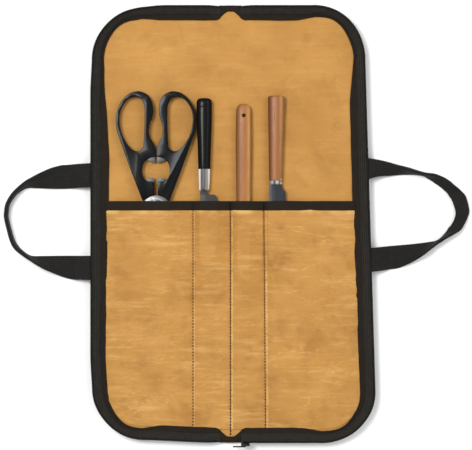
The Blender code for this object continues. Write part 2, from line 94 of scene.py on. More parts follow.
def link(name, data):
    obj = bpy.data.objects.new(name, data)
    bpy.context.scene.collection.objects.link(obj)
    return obj


def sharpen(obj, degrees):
    obj.data.set_sharp_from_angle(angle=math.radians(degrees))


def mesh_object(name, verts, faces, uvs=None):
    """A mesh from vertex and face lists; uvs holds one pair a vertex, in metres."""
    mesh = bpy.data.meshes.new(name)
    mesh.from_pydata([tuple(map(float, v)) for v in verts], [], [tuple(map(int, f)) for f in faces])
    if uvs is not None:
        layer = mesh.uv_layers.new(name="metres")
        loops = np.zeros(len(mesh.loops), np.int32)
        mesh.loops.foreach_get("vertex_index", loops)
        layer.data.foreach_set("uv", np.asarray(uvs, np.float32)[loops].ravel())
    mesh.shade_smooth()
    mesh.validate()
    return link(name, mesh)


def grid_faces(rows, columns, wrap=False, offset=0, flip=False):
    """Quads of a grid whose vertices are numbered row by row; wrap closes each row on itself."""
    faces = []
    for i in range(rows - 1):
        for j in range(columns if wrap else columns - 1):
            k = (j + 1) % columns
            a, b = offset + i * columns + j, offset + i * columns + k
            c, d = offset + (i + 1) * columns + k, offset + (i + 1) * columns + j
            faces.append((a, d, c, b) if flip else (a, b, c, d))
    return faces


def station_grid(stations, around, place):
    """An array of stations by points, filled from place(station, point)."""
    return np.array([[place(i, j) for j in range(around)] for i in range(stations)])


def tube(name, rings, uvs=None):
    """A closed solid through rings of points; rings is an array of stations, points, 3."""
    count, around = rings.shape[:2]
    faces = grid_faces(count, around, wrap=True)
    faces.append(tuple(range(around))[::-1])
    faces.append(tuple(range((count - 1) * around, count * around)))
    obj = mesh_object(name, rings.reshape(-1, 3), faces, None if uvs is None else uvs.reshape(-1, 2))
    face_out(obj.data)
    sharpen(obj, 70)
    return obj


def face_out(mesh):
    """Turns the faces of a closed mesh outward."""
    volume = 0.0
    for face in mesh.polygons:
        corners = [mesh.vertices[i].co for i in face.vertices]
        for b, c in zip(corners[1:], corners[2:]):
            volume += corners[0].dot(b.cross(c))
    if volume < 0:
        mesh.flip_normals()


def sheet(name, top, uvs, thickness):
    """A closed sheet of fabric under a grid of top points, an array of rows, columns, 3."""
    rows, columns = top.shape[:2]
    under = top - np.array([0.0, 0.0, thickness])
    count = rows * columns
    faces = grid_faces(rows, columns) + grid_faces(rows, columns, offset=count, flip=True)
    numbers = np.arange(count).reshape(rows, columns)
    border = [*numbers[0], *numbers[1:, -1], *numbers[-1, -2::-1], *numbers[-2:0:-1, 0]]
    for a, b in zip(border, border[1:] + border[:1]):
        faces.append((b, a, a + count, b + count))
    verts = np.concatenate([top.reshape(-1, 3), under.reshape(-1, 3)])
    obj = mesh_object(name, verts, faces, np.concatenate([uvs.reshape(-1, 2)] * 2))
    face_out(obj.data)
    sharpen(obj, 60)
    return obj


def settle_modifiers(obj):
    """Replaces an object's mesh with what its modifiers make of it."""
    graph = bpy.context.evaluated_depsgraph_get()
    mesh = bpy.data.meshes.new_from_object(obj.evaluated_get(graph))
    obj.modifiers.clear()
    obj.data = mesh


def round_edges(obj, width, segments, degrees):
    bevel = obj.modifiers.new("bevel", "BEVEL")
    bevel.width = width
    bevel.segments = segments
    bevel.limit_method = "ANGLE"
    bevel.angle_limit = math.radians(degrees)
    settle_modifiers(obj)


def cut_out(obj, cutter):
    """Takes the cutter's shape out of an object, and removes the cutter."""
    cut = obj.modifiers.new("cut", "BOOLEAN")
    cut.operation = "DIFFERENCE"
    cut.object = cutter
    settle_modifiers(obj)
    bpy.data.objects.remove(cutter)


def outline_solid(name, outline, low, high, holes=(), bevel=0.0, segments=3, degrees=40):
    """A flat solid from an outline and holes, with rounded rims."""
    bm = bmesh.new()
    edges = []
    for loop in (outline, *holes):
        verts = [bm.verts.new((x, y, low)) for x, y in loop]
        edges += [bm.edges.new((verts[i - 1], verts[i])) for i in range(len(verts))]
    bmesh.ops.triangle_fill(bm, use_beauty=True, use_dissolve=False, edges=edges, normal=(0, 0, 1))
    made = bmesh.ops.extrude_face_region(bm, geom=bm.faces[:])
    raised = [item for item in made["geom"] if isinstance(item, bmesh.types.BMVert)]
    bmesh.ops.translate(bm, vec=(0, 0, high - low), verts=raised)
    bmesh.ops.recalc_face_normals(bm, faces=bm.faces[:])
    bmesh.ops.dissolve_limit(bm, angle_limit=math.radians(1), verts=bm.verts[:], edges=bm.edges[:])
    mesh = bpy.data.meshes.new(name)
    bm.to_mesh(mesh)
    bm.free()
    obj = link(name, mesh)
    if bevel:
        round_edges(obj, bevel, segments, degrees)
    obj.data.shade_smooth()
    sharpen(obj, 32)
    return obj


def circle(x, y, radius, count):
    turns = np.linspace(0, 2 * math.pi, count, endpoint=False)
    return [(x + radius * math.cos(a), y + radius * math.sin(a)) for a in turns]


def ease(t):
    t = np.clip(t, 0.0, 1.0)
    return t * t * (3 - 2 * t)


def rough(x, y, scale, seed):
    """Smooth noise between about -1 and 1 at a place in metres, with features 1 / scale metres wide."""
    shift = seed * SEED_STEP
    return noise.noise(Vector((x * scale + shift, y * scale - shift, shift)))


def rough_field(xs, ys, scale, seed, stretch=(1.0, 1.0)):
    values = [rough(x * stretch[0], y * stretch[1], scale, seed) for x, y in zip(xs.ravel(), ys.ravel())]
    return np.array(values).reshape(xs.shape)


def smooth_curve(points, steps, closed=False):
    """A Catmull-Rom curve through points."""
    points = [np.array(p, float) for p in points]
    ends = [points[-1], *points, points[0], points[1]] if closed else [points[0], *points, points[-1]]
    curve = []
    for i in range(len(points) if closed else len(points) - 1):
        a, b, c, d = ends[i : i + 4]
        for k in range(steps):
            t = k / steps
            bend = (2 * a - 5 * b + 4 * c - d) * t * t + (3 * b - a - 3 * c + d) * t**3
            curve.append(0.5 * (2 * b + (c - a) * t + bend))
    if not closed:
        curve.append(points[-1])
    return np.array(curve)


# ---- materials ----


class Look:
    """A node material, with short calls to add and join nodes."""

    def __init__(self, name, roughness, metallic=0.0, specular=0.5):
        self.material = bpy.data.materials.new(name)
        self.material.use_nodes = True
        self.tree = self.material.node_tree
        self.shader = self.tree.nodes["Principled BSDF"]
        self.set("Roughness", roughness)
        self.set("Metallic", metallic)
        self.set("Specular IOR Level", specular)

    def set(self, socket, value):
        self.shader.inputs[socket].default_value = value

    def feed(self, socket, value):
        if isinstance(value, bpy.types.NodeSocket):
            self.tree.links.new(value, socket)
        else:
            socket.default_value = value

    def add(self, kind, inputs=(), **settings):
        node = self.tree.nodes.new("ShaderNode" + kind)
        for key, value in settings.items():
            setattr(node, key, value)
        for key, value in dict(inputs).items():
            self.feed(node.inputs[key], value)
        return node

    def place(self, scale=(1, 1, 1), uv=True, turn=0.0):
        """Coordinates in metres, from the fabric's own UVs or from the object, times scale."""
        source = self.add("TexCoord")
        mapping = self.add("Mapping", {"Scale": scale, "Rotation": (0, 0, turn)})
        self.feed(mapping.inputs["Vector"], source.outputs["UV" if uv else "Object"])
        return mapping.outputs["Vector"]

    def strips(self, middle, half, stops):
        """Painted light, shade and reflection across a piece along X, from (place, red, green, blue) stops: 0
        is its left end.
        """
        axes = self.add("SeparateXYZ", {"Vector": self.place(uv=False)})
        across = self.maths("DIVIDE", self.maths("SUBTRACT", axes.outputs["X"], middle), half)
        node = self.add("ValToRGB", {"Fac": self.ramp(across, -1.0, 1.0)})
        elements = node.color_ramp.elements
        while len(elements) < len(stops):
            elements.new(0.5)
        for element, (place, *levels) in zip(elements, stops):
            element.position = place
            element.color = rgb(*levels)
        return node.outputs["Color"]

    def noise(self, where, scale, detail=3.0, rough=0.5, distort=0.0):
        inputs = {"Vector": where, "Scale": scale, "Detail": detail}
        inputs |= {"Roughness": rough, "Distortion": distort}
        return self.add("TexNoise", inputs).outputs["Fac"]

    def bands(self, where, period, direction="X", distort=0.0):
        """Even bands, from 0 to 1, at a period in metres."""
        inputs = {"Vector": where, "Scale": math.pi / 10 / period, "Distortion": distort}
        return self.add("TexWave", inputs, bands_direction=direction).outputs["Fac"]

    def maths(self, operation, a, b=0.0):
        return self.add("Math", {0: a, 1: b}, operation=operation).outputs[0]

    def times(self, a, b):
        return self.maths("MULTIPLY", a, b)

    def plus(self, a, b):
        return self.maths("ADD", a, b)

    def ramp(self, value, low, high, out_low=0.0, out_high=1.0):
        inputs = {"Value": value, "From Min": low, "From Max": high, "To Min": out_low, "To Max": out_high}
        return self.add("MapRange", inputs).outputs["Result"]

    def mix(self, share, a, b):
        return self.add("MixRGB", {"Fac": share, "Color1": a, "Color2": b}).outputs["Color"]

    def stain(self, base, colour, value, low, high, most=1.0):
        """Lays a colour over the base where a value rises from low to high."""
        return self.mix(self.ramp(value, low, high, 0.0, most), base, colour)

    def ridges(self, value, width):
        """Thin lines where a noise crosses its middle, 1 on the line."""
        off = self.maths("ABSOLUTE", self.maths("SUBTRACT", value, 0.5))
        return self.ramp(off, 0.0, width, 1.0, 0.0)

    def finish(self, colour, bump, height, roughness=None, sheen=0.0):
        self.feed(self.shader.inputs["Base Color"], colour)
        if roughness is not None:
            self.feed(self.shader.inputs["Roughness"], roughness)
        if sheen:
            self.set("Sheen Weight", sheen)
            self.set("Sheen Roughness", 0.5)
        node = self.add("Bump", {"Height": bump, "Distance": height, "Strength": 1.0})
        self.feed(self.shader.inputs["Normal"], node.outputs["Normal"])
        return self.material


def rgb(r, g, b):
    """An sRGB colour given in 0-255, as linear light."""
    levels = [v / 255 for v in (r, g, b)]
    linear = [v / 12.92 if v <= 0.04045 else ((v + 0.055) / 1.055) ** 2.4 for v in levels]
    return (*linear, 1.0)


def canvas_look(name, creases, warmth=1.0, deep=1.0, rows=(), mouth=None):
    """Waxed canvas: mottled tan, fine plain weave, and pale crease lines and long pale streaks painted as
    highlights on its creases, with the wax's pale crackle where it has folded. A painted highlight lies
    beside the rows of stitching (places along U), where the fabric puckers, and under the mouth (a place
    along V), where the pocket bulges."""
    look = Look(name, 0.62, specular=0.25)
    where = look.place()
    wide = look.place((0.35, 1.6, 1.0))
    broad = look.noise(where, 14, 3)
    patchy = look.noise(where, 70, 5, 0.6)
    cloudy = look.noise(where, 32, 4, 0.62, 0.4)
    speckle = look.noise(where, 1100, 2)
    base = look.stain(rgb(173, 121, 54), rgb(197, 144, 72), broad, 0.3, 0.7)
    base = look.stain(base, rgb(189, 138, 67), patchy, 0.35, 0.72, 0.55)
    base = look.stain(base, rgb(156, 106, 43), cloudy, 0.52, 0.70, 0.42 * deep)
    # Pale crease lines: painted highlights along the creases, with the wax's pale crackle where it has
    # folded.
    fold_lines = look.ridges(look.noise(wide, 26, 4, 0.62, 0.6), 0.012)
    hair_lines = look.ridges(look.noise(where, 58, 5, 0.66, 0.9), 0.009)
    streaks = look.ramp(look.noise(wide, 45, 4, 0.7), 0.52, 0.74)
    marks = look.maths("MAXIMUM", look.times(fold_lines, 0.55), look.times(hair_lines, 0.30))
    marks = look.maths("MAXIMUM", marks, look.times(streaks, 0.45))
    shown = look.times(marks, look.ramp(broad, 0.36, 0.62, creases * 0.35, creases))
    base = look.mix(shown, base, rgb(220, 174, 108))
    # Long pale streaks and patches along the creases: painted highlight.
    long_highlight_streaks = look.ramp(look.noise(look.place((0.28, 2.4, 1.0)), 62, 5, 0.72, 0.3), 0.50, 0.70)
    patches = look.ramp(look.noise(where, 19, 3), 0.40, 0.62, 0.15, 0.75 * creases)
    base = look.mix(look.times(long_highlight_streaks, patches), base, rgb(222, 176, 108))
    axes = look.add("SeparateXYZ", {"Vector": where})
    # Painted highlight a little to one side of each row of stitching, where the fabric puckers.
    row_highlight_patches = look.ramp(look.noise(where, 210, 3, 0.6), 0.38, 0.60, 0.2, 0.85)
    for row in rows:
        beside = look.maths("ABSOLUTE", look.maths("SUBTRACT", axes.outputs["X"], row + 0.0015))
        pale = look.times(look.ramp(beside, 0.0002, 0.0013, 1.0, 0.0), row_highlight_patches)
        base = look.mix(pale, base, rgb(228, 186, 120))
    if mouth is not None:
        # Painted highlight in a strip under the mouth binding, where the pocket bulges.
        under = look.ramp(look.maths("SUBTRACT", mouth, axes.outputs["Y"]), 0.0005, 0.0055, 1.0, 0.0)
        mouth_highlight_patches = look.ramp(look.noise(look.place((1, 0.1, 1)), 38, 2), 0.42, 0.60, 0.0, 0.8)
        base = look.mix(look.times(under, mouth_highlight_patches), base, rgb(232, 190, 118))
    base = look.stain(base, rgb(148, 98, 40), look.noise(where, 24, 4, 0.6, 0.3), 0.54, 0.74, 0.46 * deep)
    base = look.stain(base, rgb(140, 93, 40), speckle, 0.3, 0.7, 0.18)
    weave = look.times(look.bands(where, 0.00085, "X"), look.bands(where, 0.00085, "Y"))
    base = look.mix(look.times(weave, 0.14 * warmth), base, rgb(210, 160, 92))
    relief = look.plus(look.times(weave, 0.55), look.times(patchy, 0.8))
    relief = look.plus(relief, look.times(marks, 0.7 * creases))
    gloss = look.ramp(look.plus(patchy, look.times(marks, 0.3)), 0.3, 0.9, 0.56, 0.8)
    return look.finish(base, relief, 0.00022, gloss, sheen=0.04)


def woven_look(name, dark, light, ribs, lines):
    """Black narrow fabric, woven along its length: ribs across it and lines along it, both in metres."""
    look = Look(name, 0.82, specular=0.2)
    where = look.place()
    across = look.bands(where, ribs, "X")
    along = look.bands(where, lines, "Y")
    worn = look.noise(where, 160, 4, 0.6)
    fibres = look.noise(where, 2600, 2)
    weave = look.times(look.plus(across, look.times(fibres, 0.5)), along)
    shade = look.stain(dark, light, weave, 0.1, 1.1, 0.8)
    shade = look.stain(shade, light, worn, 0.42, 0.75, 0.35)
    shade = look.stain(shade, rgb(110, 98, 84), look.noise(where, 900, 3), 0.66, 0.8, 0.08)
    return look.finish(shade, look.plus(weave, look.times(worn, 0.6)), 0.00028, sheen=0.02)


def twill_look(name, dark, light):
    """Binding tape in a fine diagonal twill."""
    look = Look(name, 0.84, specular=0.2)
    where = look.place(turn=math.radians(45))
    plain = look.place()
    ridges = look.bands(where, 0.00095, "X", 0.4)
    worn = look.noise(plain, 120, 4, 0.6)
    shade = look.stain(dark, light, ridges, 0.1, 0.95, 0.85)
    shade = look.stain(shade, light, worn, 0.45, 0.75, 0.4)
    return look.finish(shade, look.plus(ridges, look.times(worn, 1.2)), 0.00022, sheen=0.02)


def thread_look(name, dark, light):
    look = Look(name, 0.7)
    twist = look.noise(look.place(uv=False), 2400, 2)
    return look.finish(look.stain(dark, light, twist, 0.35, 0.65), twist, 0.0001)


def foam_look(name):
    look = Look(name, 0.95)
    cells = look.noise(look.place(), 1400, 3, 0.7)
    return look.finish(look.stain(rgb(120, 120, 118), rgb(160, 160, 156), cells, 0.3, 0.7), cells, 0.0002)


def plastic_look(name, colour, roughness):
    """Satin moulded plastic with a fine moulded texture and a few handling marks."""
    look = Look(name, roughness, specular=0.06)
    look.set("Coat Weight", 0.14)
    look.set("Coat Roughness", 0.14)
    where = look.place(uv=False)
    grain = look.noise(where, 1900, 3)
    hands = look.noise(where, 45, 4, 0.6)
    scuffs = look.ridges(look.noise(look.place((1, 0.25, 1), uv=False), 130, 3, 0.6, 1.2), 0.01)
    gloss = look.ramp(hands, 0.3, 0.7, roughness - 0.07, roughness + 0.1)
    gloss = look.plus(gloss, look.times(scuffs, 0.12))
    shade = look.stain(colour, rgb(12, 13, 14), hands, 0.4, 0.8, 0.3)
    return look.finish(shade, grain, 0.00003, gloss)


def steel_look(name, colour, roughness, along=(1, 1, 1), contrast=0.3, metallic=1.0):
    """Steel with fine grinding lines; along stretches them."""
    look = Look(name, roughness, metallic)
    lines = look.noise(look.place(along, uv=False), 900, 4, 0.7)
    smudge = look.noise(look.place(uv=False), 60, 3)
    dark = tuple(c * (1 - contrast) for c in colour[:3]) + (1.0,)
    shade = look.stain(dark, colour, lines, 0.3, 0.7)
    gloss = look.ramp(lines, 0.3, 0.7, roughness * 0.8, roughness * 1.25)
    gloss = look.plus(gloss, look.ramp(smudge, 0.5, 0.8, 0.0, 0.08))
    return look.finish(shade, lines, 0.00002, gloss)


def polished_look(name, middle, half, stops):
    """Polished round steel, with a painted reflection: bright and dark strips of the room painted into its
    colour along it.
    """
    look = Look(name, 0.3, 0.15)
    # Painted reflection: bright and dark strips across the piece.
    strips = look.strips(middle, half, stops)
    lines = look.noise(look.place((1, 0.08, 1), uv=False), 1100, 3, 0.7)
    shade = look.stain(strips, rgb(110, 108, 104), lines, 0.35, 0.7, 0.25)
    return look.finish(shade, lines, 0.00002, look.ramp(lines, 0.3, 0.7, 0.24, 0.4))


def wood_look(name, middle, half, stops, dark, roughness=0.42):
    """Turned hardwood: long grain along Y with growth-ring bands, pores and an oiled surface, over painted
    light and shade: darker on its left side and lighter on its right.
    """
    look = Look(name, roughness, specular=0.35)
    grain_place = look.place((1.0, 0.045, 1.0), uv=False)
    ring_place = look.place((1.0, 0.06, 0.7), uv=False)
    rings = look.noise(ring_place, 210, 3, 0.5, 0.8)
    fine = look.noise(grain_place, 1500, 4, 0.6)
    wide = look.noise(look.place((1.0, 0.3, 1.0), uv=False), 55, 3)
    # Painted light and shade across the handle: darker on the left, lighter on the right.
    shade = look.strips(middle, half, stops)
    shade = look.stain(shade, dark, rings, 0.35, 0.68, 0.28)
    shade = look.stain(shade, dark, fine, 0.45, 0.75, 0.38)
    shade = look.stain(shade, dark, wide, 0.45, 0.75, 0.22)
    pores = look.ramp(look.noise(grain_place, 3400, 2), 0.66, 0.72)
    shade = look.mix(look.times(pores, 0.5), shade, dark)
    relief = look.plus(look.times(fine, 0.6), look.times(pores, -0.6))
    gloss = look.ramp(fine, 0.3, 0.7, roughness - 0.08, roughness + 0.1)
    return look.finish(shade, relief, 0.00006, gloss)


def centre_x(node):
    low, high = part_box(node)
    return (low[0] + high[0]) / 2


# Painted reflections on the polished ferrule and bolster: bright and dark strips as (place, red, green, blue)
# stops across each.
FERRULE_REFLECTION_STRIPS = [
    (0.0, 255, 255, 255), (0.13, 250, 250, 248), (0.22, 84, 82, 78), (0.46, 48, 46, 44),
    (0.64, 120, 118, 114), (0.78, 140, 138, 134), (0.88, 255, 255, 255),
]
BOLSTER_REFLECTION_STRIPS = [
    (0.0, 40, 38, 36), (0.22, 190, 188, 184), (0.40, 60, 58, 56), (0.62, 222, 220, 216),
    (0.80, 80, 78, 76), (1.0, 228, 226, 222),
]
# Painted light and shade across the wooden handles, darker on the left and lighter on the right, as (place,
# red, green, blue) stops.
PALE_WOOD_LIGHT_STRIPS = [
    (0.0, 99, 64, 35), (0.16, 127, 79, 38), (0.42, 158, 98, 42), (0.66, 167, 109, 50),
    (0.84, 194, 143, 74), (0.96, 152, 105, 54),
]
WARM_WOOD_LIGHT_STRIPS = [
    (0.0, 87, 48, 23), (0.14, 106, 61, 30), (0.30, 142, 89, 46), (0.46, 162, 104, 56),
    (0.62, 148, 93, 50), (0.80, 175, 123, 70), (0.96, 142, 99, 58),
]

POCKET_SHIFT = (0.31, 0.17)
POCKET_ROWS = [POCKET_SHIFT[0] + place for place in (LEFT_DIVIDER, 0.0, RIGHT_DIVIDER)]
ALONG_BLADE = (1, 0.06, 1)

LOOKS = {
    "shell": canvas_look("waxed_canvas_outside", 0.8, 0.8),
    "lining": canvas_look("waxed_canvas_lining", 0.35),
    "pocket": canvas_look("waxed_canvas_pocket", 1.0, 1.0, 1.3, POCKET_ROWS, POCKET_SHIFT[1] + MOUTH_LOW),
    "binding": twill_look("binding_twill", rgb(24, 17, 11), rgb(43, 34, 24)),
    "tape": woven_look("zip_tape_weave", rgb(27, 26, 23), rgb(57, 54, 49), 0.0007, 0.0026),
    "coil": plastic_look("nylon_coil", rgb(22, 21, 20), 0.42),
    "webbing": woven_look("webbing_weave", rgb(19, 18, 17), rgb(42, 40, 37), 0.0016, 0.0021),
    "thread": thread_look("black_thread", rgb(8, 6, 5), rgb(22, 18, 15)),
    "plastic": plastic_look("black_plastic", rgb(5, 6, 8), 0.34),
    "grip": plastic_look("black_grip", rgb(8, 8, 9), 0.40),
    "blade": steel_look("blade_steel", rgb(112, 112, 114), 0.32, ALONG_BLADE, 0.3, 0.75),
    "dull_steel": steel_look("opener_steel", rgb(92, 93, 95), 0.45, metallic=0.6),
    "grey_blade": steel_look("grey_blade_steel", rgb(60, 58, 56), 0.42, ALONG_BLADE, 0.25, 0.6),
    "slate_blade": steel_look("slate_blade_steel", rgb(42, 45, 51), 0.40, ALONG_BLADE, 0.25, 0.5),
    "bright": steel_look("bright_steel", rgb(96, 95, 94), 0.24, metallic=0.8),
    "ferrule": polished_look("polished_ferrule", centre_x("black_knife_ferrule"), 0.0061, FERRULE_REFLECTION_STRIPS),
    "bolster": polished_look("polished_bolster", centre_x("wooden_knife_bolster"), 0.0065, BOLSTER_REFLECTION_STRIPS),
    "slider": steel_look("slider_metal", rgb(52, 50, 47), 0.38, contrast=0.2, metallic=0.6),
    "pale_wood": wood_look("pale_wood", centre_x("gouge_handle"), 0.0083, PALE_WOOD_LIGHT_STRIPS, rgb(124, 76, 44)),
    "warm_wood": wood_look("warm_wood", 0.0474, 0.0086, WARM_WOOD_LIGHT_STRIPS, rgb(112, 66, 38)),
    "foam": foam_look("foam_interlining"),
}


def dress(obj, look, nodes):
    """Gives a piece its material and hides the CAD nodes it stands for."""
    obj.data.materials.clear()
    obj.data.materials.append(LOOKS[look])
    if nodes:
        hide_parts(*nodes)


def fit(obj, look, slot, body, *nodes):
    """Dresses a piece that rides on one body."""
    dress(obj, look, nodes)
    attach(obj, body)


def fit_bending(obj, look, slot, reach, *nodes):
    """Dresses a fabric piece at the fold and bakes its place into its mesh; reach is not used."""
    dress(obj, look, nodes)
    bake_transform(obj)


# ---- the case's outline ----

END_DROP_LENGTH = 0.014
END_DROP_HEIGHT = 0.0058
SLIDER_STEEPNESS = 4.0
PROFILE_REACH = 0.0157
TAPE_FOOT = 0.0083
SIDE_PUSH = {-1: 0.0012, 1: 0.0006}
END_REACH = 0.0150
END_THINNING = 0.0036
CORNER_THINNING = 0.0033
NOTCH_TIP = 0.0004
NOTCH_HALF = 0.0012
NOTCH_SPAN = 0.0146
NOTCH_TUCK = 0.0006

# How wide the band lies down each side: (Y, width).
SIDE_REACH = {
    -1: [
        (-0.19, 0.0154), (-0.13, 0.0148), (-0.03, 0.0168), (0.07, 0.0186),
        (0.11, 0.016), (0.15, 0.0126), (0.175, 0.0108),
    ],
    1: [(-0.19, 0.0150), (-0.08, 0.0166), (0.08, 0.0172), (0.13, 0.0170), (0.155, 0.0140), (0.175, 0.0118)],
}

# The edge binding's section in millimetres, (inset, height): over the lining, round the rim and back.
BINDING_OVER = [
    (15.5, 0.4), (15.7, 1.2), (15.1, 1.8), (13.6, 2.0), (12.1, 2.1), (11.1, 2.4), (10.2, 3.0), (9.1, 2.8),
    (8.2, 1.7),
]
BINDING_UNDER = [(8.3, 3.0), (9.1, 1.1), (10.1, 0.4), (11.1, 0.9), (11.0, 3.4)]
BINDING_BACK = [(11.2, 0.1), (13.5, 0.2)]

BAND_STEP = 0.0024
TAPE_HALF = 0.0004
COIL_PITCH = 0.0016
COIL_STATIONS = 4
COIL_AROUND = 8
COIL_HEIGHT = 0.0145


def settle(points):
    """Applies the lie of the soft fabric: bowed ends on the left, and a right half slightly narrower at
    the top than at the bottom."""
    points = points.copy()
    x, y = points[..., 0].copy(), points[..., 1].copy()
    near_end = ease((np.abs(y) - 0.150) / 0.060)
    top_bow = 0.0028 * ease((np.abs(x) - 0.068) / 0.036)
    bottom_bow = 0.0034 * ease((np.abs(x) - 0.005) / 0.100)
    bow = np.where(x < 0, np.where(y > 0, top_bow, bottom_bow), 0.0) * near_end
    tuck = 0.0019 * ease((np.abs(y) - 0.135) / 0.045) * ease((np.abs(x) - 0.09) / 0.04)
    height_share = np.clip((y + 0.19) / 0.38, 0.0, 1.0)
    points[..., 0] = np.where(x > 0, x * (1.041 - 0.080 * height_share), x + tuck)
    points[..., 1] = y - np.sign(y) * bow
    return points


def rim_run(step):
    """Evenly spaced stations along one half's rim, as (position, inward normal, distance), for +X."""
    straight_x = RIM_X - CORNER - FOLD_X
    straight_y = 2 * (RIM_Y - CORNER)
    quarter = CORNER * math.pi / 2
    total = 2 * straight_x + straight_y + 2 * quarter
    distances = np.linspace(0.0, total, int(total / step) + 1)
    first = distances - straight_x
    second = first - quarter - straight_y
    turn = (np.clip(first, 0, quarter) + np.clip(second, 0, quarter)) / CORNER
    outward = np.stack([np.sin(turn), np.cos(turn)], -1)
    slide_x = np.minimum(first, 0) - np.maximum(second - quarter, 0)
    slide_y = -np.clip(first - quarter, 0, straight_y)
    places = np.array([RIM_X - CORNER, RIM_Y - CORNER]) + CORNER * outward + np.stack([slide_x, slide_y], -1)
    return places, -outward, distances


def end_drop(distances, side):
    """How much of the rim's height is left near the fold; it falls late where the slider is parked."""
    total = distances[-1]
    near = np.minimum(distances, (total - distances) * (SLIDER_STEEPNESS if side > 0 else 1.0))
    return 0.25 + 0.75 * ease(near / END_DROP_LENGTH)


def notch(x):
    """How far in from the rim the black edge reaches, x metres from the fold, at either end of it."""
    tip = RIM_Y - FOLD_END + NOTCH_TIP
    return tip + (END_REACH - tip) * float(ease((x - NOTCH_HALF) / NOTCH_SPAN))


def rim_inset(inset, place, inward, side):
    """Widens the band along the sides and narrows it round the corners."""
    sides, corners = inward[0] ** 2, 4 * inward[0] ** 2 * inward[1] ** 2
    at, widths = zip(*SIDE_REACH[side])
    beside = float(np.interp(place[1], at, widths))
    end = notch(place[0]) - END_THINNING * float(ease((place[0] - 0.070) / 0.025))
    reach = end + (beside - end) * sides - CORNER_THINNING * (1 - sides) * corners
    foot = min(TAPE_FOOT, reach - 0.0040)
    share = max(0.0, (inset - TAPE_FOOT) / (PROFILE_REACH - TAPE_FOOT))
    push = SIDE_PUSH[side] * sides * max(0.0, 1 - inset / TAPE_FOOT)
    return min(inset, TAPE_FOOT) * foot / TAPE_FOOT + share * (reach - foot) - push


def rim_sweep(name, side, profile, wrinkle, seed):
    """A closed strip along the rim from a closed profile of (inset, height); wrinkles follow noise."""
    places, inward, distances = rim_run(BAND_STEP)
    drop = end_drop(distances, side)
    outline = np.array(profile)
    lengths = np.linalg.norm(np.roll(outline, -1, 0) - outline, axis=1)
    across = np.concatenate([[0.0], np.cumsum(lengths)[:-1]])

    def place(i, j):
        s = distances[i]
        shake = wrinkle * rough(s, across[j] * 1.5, 90, seed)
        shake += 0.5 * wrinkle * rough(s, across[j], 260, seed + 1)
        drift = 1.5 * wrinkle * rough(s, 0.0, 34, seed + 2)
        inset = rim_inset(outline[j, 0], places[i], inward[i], side) + 0.6 * shake + drift
        height = outline[j, 1] + shake
        low = min(height, END_DROP_HEIGHT)
        x, y = places[i] + inward[i] * inset
        return side * x, y, max(low + (height - low) * drop[i], LOWEST), s, across[j]

    grid = station_grid(len(distances), len(outline), place)
    return tube(name, settle(grid[..., :3]), grid[..., 3:])


def edge_binding_profile():
    over, under, back = (np.array(rows) / MM for rows in (BINDING_OVER, BINDING_UNDER, BINDING_BACK))
    over[:, 1] += LINING_TOP
    back[:, 1] += LINING_TOP
    return np.concatenate([over, under, back])


def zip_tape_profile():
    """The zip tape, bowing a little as it rises from the binding to the coil."""
    start, end = np.array([0.0098, LINING_TOP + 0.0022]), np.array([0.0015, 0.0144])
    along = end - start
    normal = np.array([along[1], -along[0]]) / np.linalg.norm(along)
    t = np.linspace(0, 1, 7)[:, None]
    bow = 0.0007 * np.sin(math.pi * t) + 0.0003 * np.sin(2 * math.pi * t)
    middle = start + along * t + normal * bow
    return np.concatenate([middle - normal * TAPE_HALF, (middle + normal * TAPE_HALF)[::-1]])


def add_coil(word, side):
    """The nylon coil: a bead whose girth swells once for each tooth."""
    places, inward, distances = rim_run(COIL_PITCH / COIL_STATIONS)
    drop = end_drop(distances, side)

    def place(i, j):
        radius = 0.00098 + 0.00024 * math.cos(2 * math.pi * i / COIL_STATIONS)
        a = 2 * math.pi * j / COIL_AROUND
        inset = rim_inset(0.0013, places[i], inward[i], side) + 1.1 * radius * math.cos(a)
        height = COIL_HEIGHT + radius * math.sin(a)
        x, y = places[i] + inward[i] * inset
        return side * x, y, END_DROP_HEIGHT + (height - END_DROP_HEIGHT) * drop[i], distances[i], j * 0.0008

    grid = station_grid(len(distances), COIL_AROUND, place)
    coil = tube(f"{word}_coil_teeth", settle(grid[..., :3]), grid[..., 3:])
    fit(coil, "coil", "zip_coil", f"{word}_half", f"{word}_zip_coil")


def add_band(word, side):
    """Edge binding, zip tape, coil and lockstitch of one half."""
    body = f"{word}_half"
    seed = 3 if side < 0 else 8
    binding = rim_sweep(f"{word}_band_binding", side, edge_binding_profile(), 0.00035, seed)
    fit(binding, "binding", "binding", body, f"{word}_edge_binding")
    tape = rim_sweep(f"{word}_band_tape", side, zip_tape_profile(), 0.0005, seed + 3)
    fit(tape, "tape", "zip_tape", body, f"{word}_zip_tape")
    add_coil(word, side)
    path = []
    for place, normal in zip(*rim_run(0.004)[:2]):
        x, y = place + normal * rim_inset(0.0140, place, normal, side)
        path.append((side * x, y, LINING_TOP + 0.00215))
    row = stitched(f"{word}_band_stitching", [(settle(np.array(path))[2:-2], 0.0031, 0.0023, 0.00026)])
    fit(row, "thread", "thread", body)


# ---- stitches ----

SEAM = (0.0033, 0.0028, 0.00070)
AROUND_THREAD = 6


